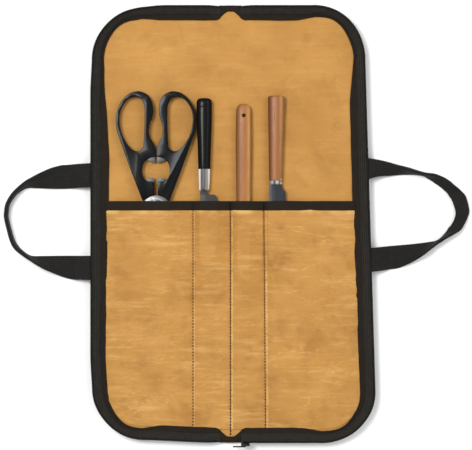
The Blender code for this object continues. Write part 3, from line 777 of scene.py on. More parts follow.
def stitched(name, rows):
    """One mesh of tapered stitches lying on the fabric, from rows of (path, pitch, length, radius)."""
    verts, faces = [], []
    for path, pitch, length, radius in rows:
        steps = np.linalg.norm(np.diff(path, axis=0), axis=1)
        reach = np.concatenate([[0.0], np.cumsum(steps)])
        for k in range(int(reach[-1] / pitch)):
            centre = (k + 0.5) * pitch
            ends = [centre - length / 2, centre - length / 4, centre + length / 4, centre + length / 2]
            spots = [np.array([np.interp(s, reach, path[:, a]) for a in range(3)]) for s in ends]
            run = (spots[3] - spots[0]) / np.linalg.norm(spots[3] - spots[0])
            up = np.array([0.0, 0.0, 1.0])
            beside = np.cross(run, up)
            base = len(verts)
            for spot, girth, lift in zip(spots, (0.35, 1.0, 1.0, 0.35), (-0.7, 0.0, 0.0, -0.7)):
                for a in np.arange(AROUND_THREAD) * 2 * math.pi / AROUND_THREAD:
                    off = beside * math.cos(a) * radius * girth
                    verts.append(spot + off + up * (math.sin(a) * radius * girth + lift * radius))
            faces += grid_faces(4, AROUND_THREAD, wrap=True, offset=base)
            faces += [range(base + 5, base - 1, -1), range(base + 18, base + 24)]
    return mesh_object(name, verts, faces, [(0.0, 0.0)] * len(verts))


# ---- flat layers ----


def half_outline(x, inset, tab):
    """How far a layer of one half reaches in Y at this distance from the fold."""
    radius = CORNER - inset - PANEL_CORNER
    over = max(x - (RIM_X - inset - radius), 0.0)
    reach = RIM_Y - inset - radius + math.sqrt(max(radius**2 - over**2, 0.0))
    return max(reach, tab) if x < FOLD_X - 0.0004 else reach


def half_grid(side, inset, tab, rows=120, start=0.0):
    """X and Y of one half's layer; its columns are close together near the fold and round the corners."""
    radius = CORNER - inset - PANEL_CORNER
    centre = RIM_X - inset - radius
    near = np.arange(start, 0.0121, 0.0010)
    middle = np.arange(0.0150, centre - 0.001, 0.0038)
    columns = np.concatenate([near, middle, centre + radius * np.sin(np.linspace(0.0, math.pi / 2, 16))])
    reach = np.array([half_outline(x, inset, tab) for x in columns])
    xs = np.repeat((side * columns)[None, :], rows, 0)
    return xs, np.linspace(-1.0, 1.0, rows)[:, None] * reach[None, :]


def layer(name, xs, ys, heights, thickness, shift=0.0):
    return sheet(name, settle(np.stack([xs, ys, heights], -1)), np.stack([xs + shift, ys], -1), thickness)


def add_shell(word, side):
    xs, ys = half_grid(side, PANEL_INSET, FOLD_END)
    wave = 0.0003 * rough_field(xs, ys, 16, 11) + 0.00012 * rough_field(xs, ys, 60, 12)
    heights = SHELL_TOP + 0.0003 + np.maximum(wave, -0.0004)
    shell = layer(f"{word}_shell_canvas", xs, ys, heights, 0.0009, 0.9)
    fit_bending(shell, "shell", "canvas", FOLD_X, f"{word}_shell", "fold_shell")


def add_interlining(word, side):
    xs, ys = half_grid(side, PANEL_INSET + 0.001, 0.0, 60, FOLD_X)
    foam = layer(f"{word}_foam", xs, ys, np.full_like(xs, LINING_TOP - 0.0014), 0.0009)
    fit(foam, "foam", "foam", f"{word}_half", f"{word}_interlining")


def add_lining(word, side):
    xs, ys = half_grid(side, PANEL_INSET + 0.0004, FOLD_END)
    wave = 0.00028 * rough_field(xs, ys, 22, 1) + 0.00016 * rough_field(xs, ys, 75, 2)
    folds = np.abs(rough_field(xs, ys, 30, 5, (1.0, 0.5)))
    heights = LINING_TOP - 0.00022 + wave + 0.00035 * np.exp(-folds / 0.05)
    lining = layer(f"{word}_lining_canvas", xs, ys, heights, CANVAS)
    fit_bending(lining, "lining", "canvas", FOLD_X, f"{word}_lining", "fold_lining")


# ---- pocket ----

POCKET_INSET = 0.0136
POCKET_TOP = MOUTH_LOW + 0.0016
POCKET_COLUMN = 0.0014
POCKET_ROW = 0.0020
POCKET_HOLD = 0.060
RELAX_STEPS = 900
CLEARANCE = 0.0005
OPENING_STEPS = (1.4, 2.8, 4.2)

SHEARS_MOVING = ["shears_outer_bow", "shears_upper_blade"]
POCKET_TOOLS = {
    -1: SHEARS_MOVING + [
        "shears_inner_bow", "shears_lower_blade", "shears_pivot_screw",
        "black_knife_blade", "black_knife_ferrule",
    ],
    1: ["gouge_handle", "gouge_blade", "wooden_knife_blade", "wooden_knife_bolster"],
}

# The mouth binding's section in millimetres: (up the pocket, height above the fabric).
MOUTH_SECTION = [
    (0.0, 0.2), (0.0, 1.3), (0.8, 1.6), (4.0, 1.7), (7.5, 1.7), (9.2, 1.4), (9.8, 0.6), (9.3, -0.1),
    (7.5, -0.2), (4.0, -0.1),
]
MOUTH_WIDTH = 0.0098


def tool_tops(nodes, xs, ys):
    """The highest point of the given CAD nodes above each place, or -1 where there is none."""
    verts, faces = [], []
    for node in nodes:
        mesh = frame["nodes"][node].data
        base = len(verts)
        verts += [v.co.copy() for v in mesh.vertices]
        faces += [[base + i for i in face.vertices] for face in mesh.polygons]
    tree = BVHTree.FromPolygons(verts, faces)
    tops = np.full(xs.shape, -1.0)
    for index in np.ndindex(xs.shape):
        hit = tree.ray_cast(Vector((xs[index], ys[index], 0.05)), Vector((0, 0, -1)))[0]
        if hit is not None:
            tops[index] = hit.z
    return tops


def opened_tops(xs, ys):
    """The highest point of the shears' moving half above each place, over the whole of its opening."""
    joint = JOINTS["shears_open"]
    middle_x, middle_y = joint["pos_m"][:2]
    over_x, over_y = xs - middle_x, ys - middle_y
    tops = np.full(xs.shape, -1.0)
    for degrees in OPENING_STEPS:
        turn = -math.radians(degrees) * joint["axis"][2]
        c, s = math.cos(turn), math.sin(turn)
        back_x, back_y = middle_x + c * over_x - s * over_y, middle_y + s * over_x + c * over_y
        tops = np.maximum(tops, tool_tops(SHEARS_MOVING, back_x, back_y))
    return tops


def spread(field, steps, pick):
    """Gives each place the np.max or the np.mean of the places round it, again and again."""
    rows, columns = field.shape
    for _ in range(steps):
        padded = np.pad(field, 1, mode="edge")
        field = pick([padded[i : i + rows, j : j + columns] for i in range(3) for j in range(3)], axis=0)
    return field


def drape(floor, pinned, tops):
    """The height of taut fabric pinned along its seams and held up by what is under it."""
    heights = np.maximum(floor, tops)
    for _ in range(RELAX_STEPS):
        padded = np.pad(heights, 1, mode="edge")
        mean = (padded[:-2, 1:-1] + padded[2:, 1:-1] + padded[1:-1, :-2] + padded[1:-1, 2:]) / 4
        heights = np.maximum(np.maximum(mean, tops), floor)
        heights[pinned] = floor[pinned]
    return heights


def pocket_reach(y):
    radius = CORNER - POCKET_INSET - PANEL_CORNER
    drop = max(0.0, -y - (RIM_Y - POCKET_INSET - radius))
    return RIM_X - POCKET_INSET - radius + math.sqrt(max(0.0, radius**2 - drop**2))


def pocket_grid(side):
    full = pocket_reach(0.0)
    columns = np.linspace(0.0, full, int(full / POCKET_COLUMN) + 1)
    bottom = POCKET_INSET - RIM_Y
    rows = np.linspace(bottom, MOUTH_HIGH - 0.0002, int((MOUTH_HIGH - bottom) / POCKET_ROW) + 1)
    xs = np.zeros((len(rows), len(columns)))
    for i, y in enumerate(rows):
        narrowing = (pocket_reach(y) - POCKET_HOLD) / (full - POCKET_HOLD)
        xs[i] = np.where(columns < POCKET_HOLD, columns, POCKET_HOLD + (columns - POCKET_HOLD) * narrowing)
    return side * xs, np.repeat(rows[:, None], len(columns), 1)


def pocket_heights(side, xs, ys, divider):
    """The underside of the pocket front."""
    floor = np.full(xs.shape, LINING_TOP + 0.0004)
    pinned = np.zeros(xs.shape, bool)
    pinned[:, [0, -1, divider]] = True
    pinned[:3, :] = True
    held = tool_tops(POCKET_TOOLS[side], xs, ys)
    if side < 0:
        held = np.maximum(held, opened_tops(xs, ys))
    held = np.where(held > 0, held + CLEARANCE, floor)
    tops = np.maximum(spread(spread(held, 3, np.max), 3, np.mean), spread(held, 1, np.max))
    tops = np.where(tops > floor + 0.0002, tops, -1.0)
    tops[pinned] = -1.0
    slack = floor + 0.0011 * ease((ys - ys[0, 0]) / 0.03) * (0.7 + 0.3 * np.sin(ys * 60))
    heights = drape(np.where(pinned, floor, slack), pinned, tops)
    softer = np.maximum(spread(heights, 4, np.mean), spread(held, 1, np.max))
    return np.where(pinned, floor, softer)


def pocket_creases(xs, ys, seed):
    """Soft horizontal creases and small crumples."""
    ridge = np.exp(-np.abs(rough_field(xs, ys, 30, seed, (0.30, 1.5))) / 0.08)
    small_ridge = np.exp(-np.abs(rough_field(xs, ys, 46, seed + 3, (0.42, 1.3))) / 0.07)
    fine = rough_field(xs, ys, 95, seed + 1, (0.6, 1.2))
    roll = rough_field(xs, ys, 17, seed + 2, (0.7, 1.6))
    return 0.00065 * ridge + 0.00040 * small_ridge + 0.00026 * fine + 0.00050 * roll


def add_pocket(word, side):
    """The pocket front, draped over the blades, its mouth's binding and its row of stitching. Gives the rows'
    places and the surface's height along the fold."""
    xs, ys = pocket_grid(side)
    divider = int(np.argmin(np.abs(xs[-1] - (LEFT_DIVIDER if side < 0 else RIGHT_DIVIDER))))
    under = pocket_heights(side, xs, ys, divider)
    seams = np.minimum(np.abs(xs), np.abs(xs - xs[-1, divider]))
    away = ease(seams / 0.004) * ease((ys - ys[0, 0]) / 0.01)
    away *= ease((np.abs(xs[:, -1:]) - np.abs(xs)) / 0.006)
    gathers = np.sin(ys * 2 * math.pi / 0.0095 + 2.2 * rough_field(xs, ys, 40, 61))
    pucker = 0.00050 * gathers * np.exp(-seams / 0.006) * ease(seams / 0.0014)
    creases = np.maximum(pocket_creases(xs, ys, 21 if side < 0 else 26), -0.00030)
    dip = 0.00045 * np.exp(-((seams / 0.0011) ** 2))
    surface = np.maximum(under + CANVAS + creases * away + pucker - dip, LINING_TOP + 0.0004)
    keep = ys[:, 0] <= POCKET_TOP
    top = np.stack([xs, ys, surface], -1)[keep]
    uvs = np.stack([xs + POCKET_SHIFT[0], ys + POCKET_SHIFT[1]], -1)[keep]
    pocket = sheet(f"{word}_pocket_canvas", settle(top), uvs, CANVAS)
    fit_bending(pocket, "pocket", "canvas", POCKET_BLEND, f"{word}_pocket_front")
    add_mouth_binding(word, side, xs[-1], under[(ys[:, 0] >= MOUTH_LOW) & (ys[:, 0] <= MOUTH_HIGH)].max(0))
    rows = keep & (ys[:, 0] > ys[0, 0] + 0.001)
    path = np.stack([xs[rows, divider], ys[rows, divider], surface[rows, divider] + 0.00012], -1)[::-1]
    add_divider(word, settle(np.concatenate([path, path[-1:] - np.array([[0.0, 0.0045, 0.0]])])))
    return ys[:, 0], surface[:, 0]


def add_mouth_binding(word, side, columns, line):
    """Twill tape folded over the pocket's top edge, and its two rows of stitching; line holds its heights."""
    section = np.array(MOUTH_SECTION) / MM
    across = np.cumsum([0.0] + [math.dist(a, b) for a, b in zip(section, section[1:])])
    seed = 31 if side < 0 else 36

    def place(i, j):
        x, (up, height) = columns[i], section[j]
        shake = 0.00018 * rough(x, up * 2, 120, seed)
        edge = 0.00025 * rough(x, up, 40, seed + 1)
        y = MOUTH_LOW + up * (MOUTH_HIGH - MOUTH_LOW) / MOUTH_WIDTH + edge
        return x, y, line[i] + height + shake, x, across[j]

    grid = station_grid(len(columns), len(section), place)
    binding = tube(f"{word}_mouth_tape", settle(grid[..., :3]), grid[..., 3:])
    fit_bending(binding, "binding", "binding", POCKET_BLEND, f"{word}_mouth_binding")
    for name, up in (("lower", 0.0014), ("upper", 0.0082)):
        path = settle(np.array([(x, MOUTH_LOW + up, z + 0.0017) for x, z in zip(columns, line)]))
        row = stitched(f"{word}_mouth_stitching_{name}", [(path, 0.0031, 0.0022, 0.00024)])
        fit_bending(row, "thread", "thread", POCKET_BLEND)


def add_divider(word, path):
    """Lockstitch down the pocket front between two slots, with a short backtack at the mouth."""
    tack = path[2:8] + np.linspace(0.0, -0.0030, 6)[:, None] * np.array([[1.0, 0.0, 0.0]])
    pitch, length, radius = SEAM
    row = stitched(f"{word}_divider_thread", [(path, *SEAM), (tack, pitch, length, radius * 0.8)])
    fit(row, "thread", "thread", f"{word}_half", f"{word}_divider_stitching")


def add_fold_stitches(ys, surface):
    rows = ys < POCKET_TOP
    below = np.arange(-0.0005 - FOLD_END, ys[0], 0.002)
    heights = np.concatenate([np.full(len(below), LINING_TOP + 0.0002), surface[rows]])
    along = np.concatenate([below, ys[rows]])
    path = np.stack([np.zeros(len(along)), along, heights + 0.0002], -1)[::-1]
    fit(stitched("fold_thread", [(path, *SEAM)]), "thread", "thread", "fold_strip", "fold_stitching")


def blunt(value, power):
    """A sine or cosine bent towards a square, for sections between an ellipse and a box."""
    return math.copysign(abs(value) ** power, value)


def add_fold_ends(word, side):
    """Black tape bound over the canvas at each end of the fold, wider where it meets the zip band."""
    around = 18
    columns = np.linspace(0.0, FOLD_X + 0.0012, 20)
    outer = RIM_Y + 0.0009
    for end, sign in (("top", 1), ("bottom", -1)):

        def place(i, j):
            x, a = columns[i], 2 * math.pi * j / around
            inner = RIM_Y - notch(x) + NOTCH_TUCK
            swell = 1 + 0.06 * rough(x, a * 0.01, 300, 41)
            y = (inner + outer) / 2 + (outer - inner) / 2 * blunt(math.cos(a), 0.6) * swell
            z = 0.0031 + 0.0027 * blunt(math.sin(a), 0.6) * swell
            return side * x, sign * y, max(z, LOWEST), x, j * 0.0012

        grid = station_grid(len(columns), around, place)
        piece = tube(f"{end}_fold_end_{word}", settle(grid[..., :3]), grid[..., 3:])
        fit_bending(piece, "binding", "binding", FOLD_X, f"{end}_end_binding")


# ---- handles ----

WEBBING_WIDTH = 0.0245
WEBBING = 0.0017
LAYER_GAP = 0.0019
GRIP_RISE = 0.0119
LEAST_SPAN = 0.0117
ROOT_HEIGHT = 0.0136
TUCKED = [(-0.0100, 0.0036), (-0.0078, 0.0060), (-0.0045, 0.0097), (-0.0020, 0.0122)]

# Edges of each loop in plan, in millimetres: outer X, outer Y, inner X, inner Y, from one root to the other.
LEFT_EDGES = [
    (147.0, 63.5, 147.0, 38.2), (159.8, 62.7, 159.8, 37.7), (172.6, 61.1, 172.0, 37.0),
    (189.7, 56.6, 188.0, 36.9), (208.8, 47.8, 204.5, 37.2), (217.4, 42.5, 213.5, 37.0),
    (224.8, 36.1, 221.5, 32.7), (230.2, 29.7, 227.0, 27.2), (234.4, 21.7, 231.2, 20.3),
    (236.0, 13.1, 232.6, 12.8), (235.5, 4.6, 232.4, 5.0), (231.2, -14.6, 227.6, -12.9),
    (225.9, -25.8, 222.6, -22.6), (216.3, -33.8, 214.4, -30.4), (205.6, -40.7, 207.5, -33.0),
    (193.9, -47.1, 197.5, -33.2), (172.6, -54.9, 174.0, -33.2), (159.8, -57.0, 159.8, -33.2),
    (147.0, -58.1, 147.0, -33.0),
]
RIGHT_EDGES = [
    (144.1, 67.0, 144.1, 46.7), (156.9, 64.9, 155.0, 49.6), (170.7, 62.2, 169.0, 50.4),
    (184.6, 59.2, 183.0, 51.2), (201.6, 54.2, 199.8, 50.6), (212.3, 52.6, 207.0, 46.9),
    (219.8, 49.9, 213.0, 43.4), (227.2, 45.7, 219.0, 39.6), (233.6, 40.3, 224.3, 35.2),
    (240.0, 34.5, 229.0, 29.5), (245.3, 28.1, 232.6, 23.6), (248.6, 14.5, 235.7, 13.5),
    (247.2, 7.5, 235.4, 8.0), (244.0, 0.5, 232.8, 2.0), (238.9, -7.1, 229.0, -3.6),
    (224.0, -16.2, 220.8, -13.6), (217.6, -20.4, 216.2, -16.9), (208.0, -27.3, 210.6, -18.0),
    (197.4, -34.8, 202.0, -19.4), (184.6, -41.4, 189.5, -21.0), (170.7, -46.0, 174.5, -22.4),
    (147.3, -50.8, 147.8, -24.7),
]


def webbing_ring(width, rise):
    """A webbing cross-section as (across, up) points, lengths along it and its resting height: a wing that
    rises from the inner edge to the outer one, and the rest of the width folded back under it."""
    reach, flat = WEBBING_WIDTH, width
    for _ in range(4):
        reach = min(WEBBING_WIDTH, math.hypot(flat, rise))
        folded = min(1.0, (WEBBING_WIDTH - reach) / 0.003)
        flat = max(0.0, width - (LAYER_GAP * folded + WEBBING) * rise / max(reach, 1e-6))
    lean = math.atan2(rise, max(flat, 1e-6))
    along = np.array([math.cos(lean), math.sin(lean)])
    under = np.array([math.sin(lean), -math.cos(lean)])
    radius = LAYER_GAP / 2
    left = max(WEBBING_WIDTH - reach, 0.0003)
    bend = min(left, math.pi * radius)
    rest = max(left - bend, 0.0002)
    start = np.array([WEBBING / 2 * math.sin(lean), 0.0])
    middle, skins, lengths = [], [], []
    for s in np.linspace(0.0, reach, 9):
        middle.append(start + along * s)
        skins.append(-under)
        lengths.append(s)
    for s in np.linspace(0.0, bend, 7)[1:]:
        a = s / radius
        middle.append(start + along * (reach + radius * math.sin(a)) + under * radius * (1 - math.cos(a)))
        skins.append(-under * math.cos(a) + along * math.sin(a))
        lengths.append(reach + s)
    turn_end, turned = middle[-1], skins[-1]
    back = np.array([turned[1], -turned[0]]) if turned @ under > -0.99 else along
    for s in np.linspace(0.0, rest, 5)[1:]:
        middle.append(turn_end + back * s)
        skins.append(turned)
        lengths.append(reach + bend + s)
    half = np.full((len(middle), 1), WEBBING / 2)
    half[[0, -1]] /= 2
    middle, skins = np.array(middle), np.array(skins)
    ring = np.concatenate([middle + half * skins, (middle - half * skins)[::-1]])
    resting = WEBBING / 2 * math.cos(lean) + LAYER_GAP * math.cos(lean) * folded + 0.0001
    return ring, lengths + lengths[::-1], resting


def loop_stations(edges):
    """Outer and inner edge of a loop at close stations, with the height of its tucked-in ends."""
    table = smooth_curve([np.array(row) / MM for row in edges], 7)
    tuck = [(np.array([out, 0, out, 0]), height) for out, height in TUCKED]
    stations = [(table[0] + shift, height) for shift, height in tuck]
    stations += [(row, None) for row in table]
    return stations + [(table[-1] + shift, height) for shift, height in reversed(tuck)]


def add_handle(word, side, edges, lies_flat):
    """A webbing loop, flat at its roots and folded in half lengthwise along the grip."""
    seed = 51 if side < 0 else 56
    rings, uvs, travel, before = [], [], 0.0, None
    for row, height in loop_stations(edges):
        outer, inner = row[:2], row[2:]
        middle = (outer + inner) / 2
        if before is not None:
            travel += float(np.linalg.norm(middle - before))
        before = middle
        out = middle[0] - RIM_X
        width = float(np.linalg.norm(outer - inner))
        rise = GRIP_RISE * float(ease((WEBBING_WIDTH - width) / 0.0140)) * float(ease((out - 0.012) / 0.030))
        if lies_flat:
            rise *= 1 - float(ease((out - 0.060) / 0.025))
            rise = max(rise, math.sqrt(max(0.0, LEAST_SPAN**2 - width**2)))
        ring, lengths, resting = webbing_ring(min(width, WEBBING_WIDTH), rise)
        if height is None:
            height = resting + (ROOT_HEIGHT - resting) * (1 - float(ease(out / 0.028)))
        direction = (outer - inner) / width
        points = []
        for a, up in ring:
            x, y = inner + direction * a
            points.append((side * x, y, max(height + up + 0.00022 * rough(travel, a, 75, seed), 0.0001)))
        rings.append(points)
        uvs.append([(travel, v) for v in lengths])
    loop = tube(f"{word}_webbing_loop", np.array(rings), np.array(uvs))
    dress(loop, "webbing", [f"{word}_handle"])
    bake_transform(loop)


# ---- straight tools ----

WOODEN_KNIFE_X = 0.0478
BOLSTER_X = 0.0470

# Turned pieces in millimetres: (distance from an end, sideways, width, thickness), from the top end and then,
# in a second list, from the bottom end.
GRIP_TOP = [
    (0.0, -0.1, 4.0, 3.0), (0.4, -0.1, 9.8, 6.8), (1.6, -0.1, 13.8, 9.4), (4.4, -0.1, 15.8, 10.7),
    (8.5, -0.1, 16.0, 10.9), (9.8, -0.1, 15.6, 10.5), (11.0, -0.1, 16.0, 10.9), (28.0, 0.0, 15.7, 11.0),
    (52.0, 0.0, 13.8, 11.0),
]
GRIP_FOOT = [(1.2, 0.0, 12.7, 11.0), (0.0, 0.0, 12.2, 10.5)]
FERRULE_TOP = [(0.0, 0.0, 12.2, 10.6), (2.0, 0.0, 12.1, 10.5), (12.0, 0.0, 11.4, 10.0)]
FERRULE_FOOT = [(2.2, -0.2, 10.6, 9.4), (0.8, -0.2, 9.8, 8.6), (0.0, -0.4, 8.0, 6.6)]
GOUGE_TOP = [
    (0.0, 0.0, 3.0, 2.2), (0.5, 0.0, 7.6, 5.0), (2.0, 0.0, 11.6, 7.0), (6.0, 0.0, 15.0, 8.3),
    (18.0, 0.0, 16.0, 9.3), (45.0, 0.0, 16.6, 10.0), (80.0, 0.0, 15.6, 9.2), (101.0, 0.0, 14.9, 8.4),
]
GOUGE_FOOT = [(1.0, 0.0, 13.1, 7.8), (0.0, 0.0, 12.2, 7.0)]
WOODEN_TOP = [
    (0.0, 0.0, 6.0, 3.6), (0.3, 0.0, 12.0, 7.2), (0.8, 0.0, 16.0, 9.8), (2.0, 0.0, 17.3, 10.7),
    (6.0, 0.0, 17.5, 11.0), (44.0, -0.5, 15.4, 10.8),
]
WOODEN_FOOT = [(1.2, -1.0, 13.3, 10.4), (0.0, -1.0, 12.8, 9.9)]
BOLSTER_TOP = [
    (0.0, 0.0, 12.8, 9.8), (0.6, 0.0, 13.1, 10.1), (1.8, 0.0, 12.8, 9.6), (2.4, 0.0, 11.2, 8.0),
    (3.2, 0.0, 11.0, 7.0), (3.8, 0.0, 12.6, 6.6),
]
BOLSTER_FOOT = [(0.6, 0.1, 13.0, 4.2), (0.0, 0.2, 12.2, 3.0)]


def turned(name, node, middle, top_rows, foot_rows, around=40, between=5, power=2.0):
    """A piece turned about (x, height) along its CAD node, with sections between an ellipse and a box."""
    low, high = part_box(node)
    stations = [(high[1] - d, s, w, t) for d, s, w, t in np.array(top_rows) / MM]
    stations += [(low[1] + d, s, w, t) for d, s, w, t in np.array(foot_rows) / MM]
    table = smooth_curve(stations, between)

    def place(i, j):
        y, sideways, width, thickness = table[i]
        a = 2 * math.pi * j / around
        across = blunt(math.cos(a), 2 / power) * width / 2
        return middle[0] + sideways + across, y, middle[1] + blunt(math.sin(a), 2 / power) * thickness / 2

    return tube(name, station_grid(len(table), around, place))


def blade_mesh(name, node, spine, edge):
    """A ground blade between two outlines of (x, y) with as many points: thick along the spine and tapering
    to the cutting edge."""
    low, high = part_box(node)
    middle, half = (low[2] + high[2]) / 2, (high[2] - low[2]) / 2
    rings = []
    for (sx, sy), (ex, ey) in zip(smooth_curve(spine, 4), smooth_curve(edge, 4)):
        bx, by = sx + (ex - sx) * 0.38, sy + (ey - sy) * 0.38
        nx = sx + (bx - sx) * 0.1
        upper = [(sx, sy, 0.8), (nx, sy, 1.0), (bx, by, 0.94), (ex, ey, 0.08)]
        section = [(sx, sy, -0.8), *upper, (ex, ey, -0.08), (bx, by, -0.94), (nx, sy, -1.0)]
        rings.append([(x, y, middle + half * z) for x, y, z in section])
    obj = tube(name, np.array(rings))
    sharpen(obj, 25)
    return obj


def middle_of(node):
    """The middle of a CAD node in X and its middle height."""
    low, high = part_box(node)
    return (low[0] + high[0]) / 2, (low[2] + high[2]) / 2


def add_black_knife():
    middle = middle_of("black_knife_handle")
    handle = turned("black_knife_grip", "black_knife_handle", middle, GRIP_TOP, GRIP_FOOT, power=2.3)
    fit(handle, "grip", "black_plastic", "black_knife", "black_knife_handle")
    ferrule = turned("black_knife_collar", "black_knife_ferrule", middle, FERRULE_TOP, FERRULE_FOOT)
    fit(ferrule, "ferrule", "bright_steel", "black_knife", "black_knife_ferrule")
    low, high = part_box("black_knife_blade")
    left, right, top, tip = low[0], high[0], high[1], low[1]
    spine = [(left, y) for y in (top, 0.0326, 0.0300, 0.0283, 0.0, -0.0200)]
    spine += [(left + 0.0008, -0.0320), (left + 0.0036, -0.0405), (left + 0.0064, tip)]
    edge = [(left + 0.0076, top), (left + 0.0078, 0.0326), (left + 0.0098, 0.0300), (right - 0.0006, 0.0283)]
    edge += [(right - 0.0002, 0.0), (right - 0.0012, -0.0190), (right - 0.0046, -0.0320)]
    edge += [(right - 0.0076, -0.0395), (left + 0.0068, tip)]
    blade = blade_mesh("black_knife_ground_blade", "black_knife_blade", spine, edge)
    fit(blade, "grey_blade", "blade_steel", "black_knife", "black_knife_blade")


def add_gouge():
    x, height = middle_of("gouge_handle")
    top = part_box("gouge_handle")[1][1]
    handle = turned(
        "gouge_wooden_handle", "gouge_handle", (x, height), GOUGE_TOP, GOUGE_FOOT, around=48, power=2.15
    )
    cut_out(handle, outline_solid("hole_cutter", circle(x + 0.0004, top - 0.0124, 0.0021, 24), 0.0, 0.02))
    sharpen(handle, 50)
    fit(handle, "pale_wood", "pale_wood", "gouge", "gouge_handle")
    low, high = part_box("gouge_blade")
    rings = []
    for t in np.linspace(0, 1, 22):
        y = high[1] + (low[1] - high[1]) * t
        flare = float(ease((t - 0.3) / 0.3))
        width, sag = 0.0050 + 0.0069 * flare, 0.0016 * flare
        thick = 0.0017 - 0.0012 * float(ease((t - 0.75) / 0.25))
        bow = -0.0010 * float(ease((t - 0.85) / 0.15))
        shares = np.linspace(-1, 1, 9)
        upper = [(x + k * width / 2, y - bow * k * k, height + 0.0006 + sag * (k * k - 0.5)) for k in shares]
        rings.append(upper + [(a, b, c - thick) for a, b, c in upper[::-1]])
    blade = tube("gouge_fluted_blade", np.array(rings))
    sharpen(blade, 40)
    fit(blade, "blade", "blade_steel", "gouge", "gouge_blade")


def add_wooden_knife():
    height = middle_of("wooden_knife_handle")[1]
    place = (WOODEN_KNIFE_X, height)
    handle = turned(
        "wooden_knife_turned_handle", "wooden_knife_handle", place, WOODEN_TOP, WOODEN_FOOT, power=2.25
    )
    fit(handle, "warm_wood", "warm_wood", "wooden_knife", "wooden_knife_handle")
    bolster = turned(
        "wooden_knife_steel_bolster", "wooden_knife_bolster", (BOLSTER_X, height), BOLSTER_TOP, BOLSTER_FOOT,
        between=4, power=2.2,
    )
    fit(bolster, "bolster", "bright_steel", "wooden_knife", "wooden_knife_bolster")
    low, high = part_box("wooden_knife_blade")
    left, right, top, tip = low[0], high[0], high[1], low[1]
    spine = [(left, y) for y in (top, 0.0375, 0.0335, 0.0328, 0.0, -0.0180)]
    spine += [(left + 0.0012, -0.0300), (left + 0.0036, -0.0390), (left + 0.0070, tip)]
    edge = [(right - 0.0040, top), (right - 0.0030, 0.0375), (right - 0.0024, 0.0338)]
    edge += [(right - 0.0002, 0.0328), (right - 0.0001, -0.0020), (right - 0.0012, -0.0180)]
    edge += [(right - 0.0045, -0.0310), (right - 0.0080, -0.0390), (left + 0.0074, tip)]
    blade = blade_mesh("wooden_knife_ground_blade", "wooden_knife_blade", spine, edge)
    fit(blade, "slate_blade", "blade_steel", "wooden_knife", "wooden_knife_blade")


# ---- shears ----

SHEARS_X, SHEARS_Y = JOINTS["shears_open"]["pos_m"][:2]
SHOULDER = 0.0124
SHOULDER_X = 0.0150

# Outlines in millimetres: (distance from the shears' middle line, Y).
BOW = [
    (0.9, 70.2), (1.2, 79.6), (3.3, 85.2), (6.1, 90.8), (7.2, 97.3), (6.5, 103.8), (4.7, 109.4), (3.3, 115.0),
    (3.3, 122.5), (4.7, 129.0), (7.9, 134.2), (13.5, 137.4), (18.7, 138.4), (26.6, 136.5), (34.1, 130.4),
    (39.2, 121.6), (41.5, 111.3), (41.1, 99.2), (38.3, 89.8), (35.0, 80.5), (26.6, 57.2), (14.0, 24.5),
]
OPENER_GAP = [(1.9, 44.0), (9.5, 44.6), (13.4, 49.5), (14.6, 57.0), (12.6, 64.0), (7.5, 69.0), (1.6, 70.4)]
FINGER_HOLE = [
    (22.4, 132.8), (16.8, 131.4), (13.5, 127.2), (11.9, 120.6), (11.8, 103.8), (12.6, 85.2), (13.5, 79.6),
    (17.3, 76.3), (21.0, 76.0), (25.7, 78.6), (31.3, 85.2), (35.9, 94.5), (38.3, 105.7), (37.8, 116.0),
    (35.0, 123.4), (29.4, 130.4),
]
INSERTS = {
    "upper": [(1.0, 63.7), (5.0, 64.6), (9.4, 66.4), (10.5, 68.0), (6.0, 70.0), (1.0, 71.2)],
    "lower": [(1.7, 48.0), (6.0, 47.8), (10.0, 47.4), (11.2, 46.2), (9.0, 44.0), (1.7, 43.2)],
}
# The blades' straight parts, from the pivot.
BLADE_EDGE = [(-11.3, -5.0), (-9.8, -25.0), (-6.0, -70.0), (-0.2, -91.5)]
BLADE_BACK = [(0.6, -91.8), (3.4, -87.0), (8.0, -42.0), (11.0, -6.0)]

TEETH_LOW, TEETH_HIGH, TOOTH, TOOTH_DEPTH = 0.0880, 0.1090, 0.0021, 0.0006


def bow_outline(toothed):
    """One bow with its neck, its opener's gap and, if toothed, jar-opener teeth along its inner side."""
    grip = smooth_curve(np.array(BOW) / MM, 6)
    if toothed:
        for point in grip:
            if TEETH_LOW < point[1] < TEETH_HIGH and point[0] < 0.0100:
                point[0] += TOOTH_DEPTH * abs(math.sin((point[1] - TEETH_LOW) / TOOTH * math.pi / 2))
    turns = np.radians(np.linspace(32, 83, 13))
    shoulder = [(SHOULDER_X + 0.0004) * np.cos(turns), SHEARS_Y + (SHOULDER + 0.0004) * np.sin(turns)]
    return np.concatenate([grip, np.stack(shoulder, -1), smooth_curve(np.array(OPENER_GAP) / MM, 6)])


def across_shears(points, side):
    """Moves points, given as distances from the shears' middle line, to their place."""
    return [(SHEARS_X + side * u, v) for u, v in points]


def add_bow(word, side, body, toothed):
    low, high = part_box(f"shears_{word}_bow")
    hole = across_shears(smooth_curve(np.array(FINGER_HOLE) / MM, 6, closed=True), side)
    outline = across_shears(bow_outline(toothed), side)
    bow = outline_solid(f"shears_{word}_grip", outline, low[2], high[2], [hole], 0.0017, 4, 50)
    fit(bow, "plastic", "black_plastic", body, f"shears_{word}_bow")
    middle = (low[2] + high[2]) / 2
    for name, rows in INSERTS.items():
        points = across_shears(np.array(rows) / MM, side)
        name = f"shears_{word}_opener_{name}"
        insert = outline_solid(name, points, middle - 0.0012, middle + 0.0012, (), 0.0003, 2)
        fit(insert, "dull_steel", "blade_steel", body)


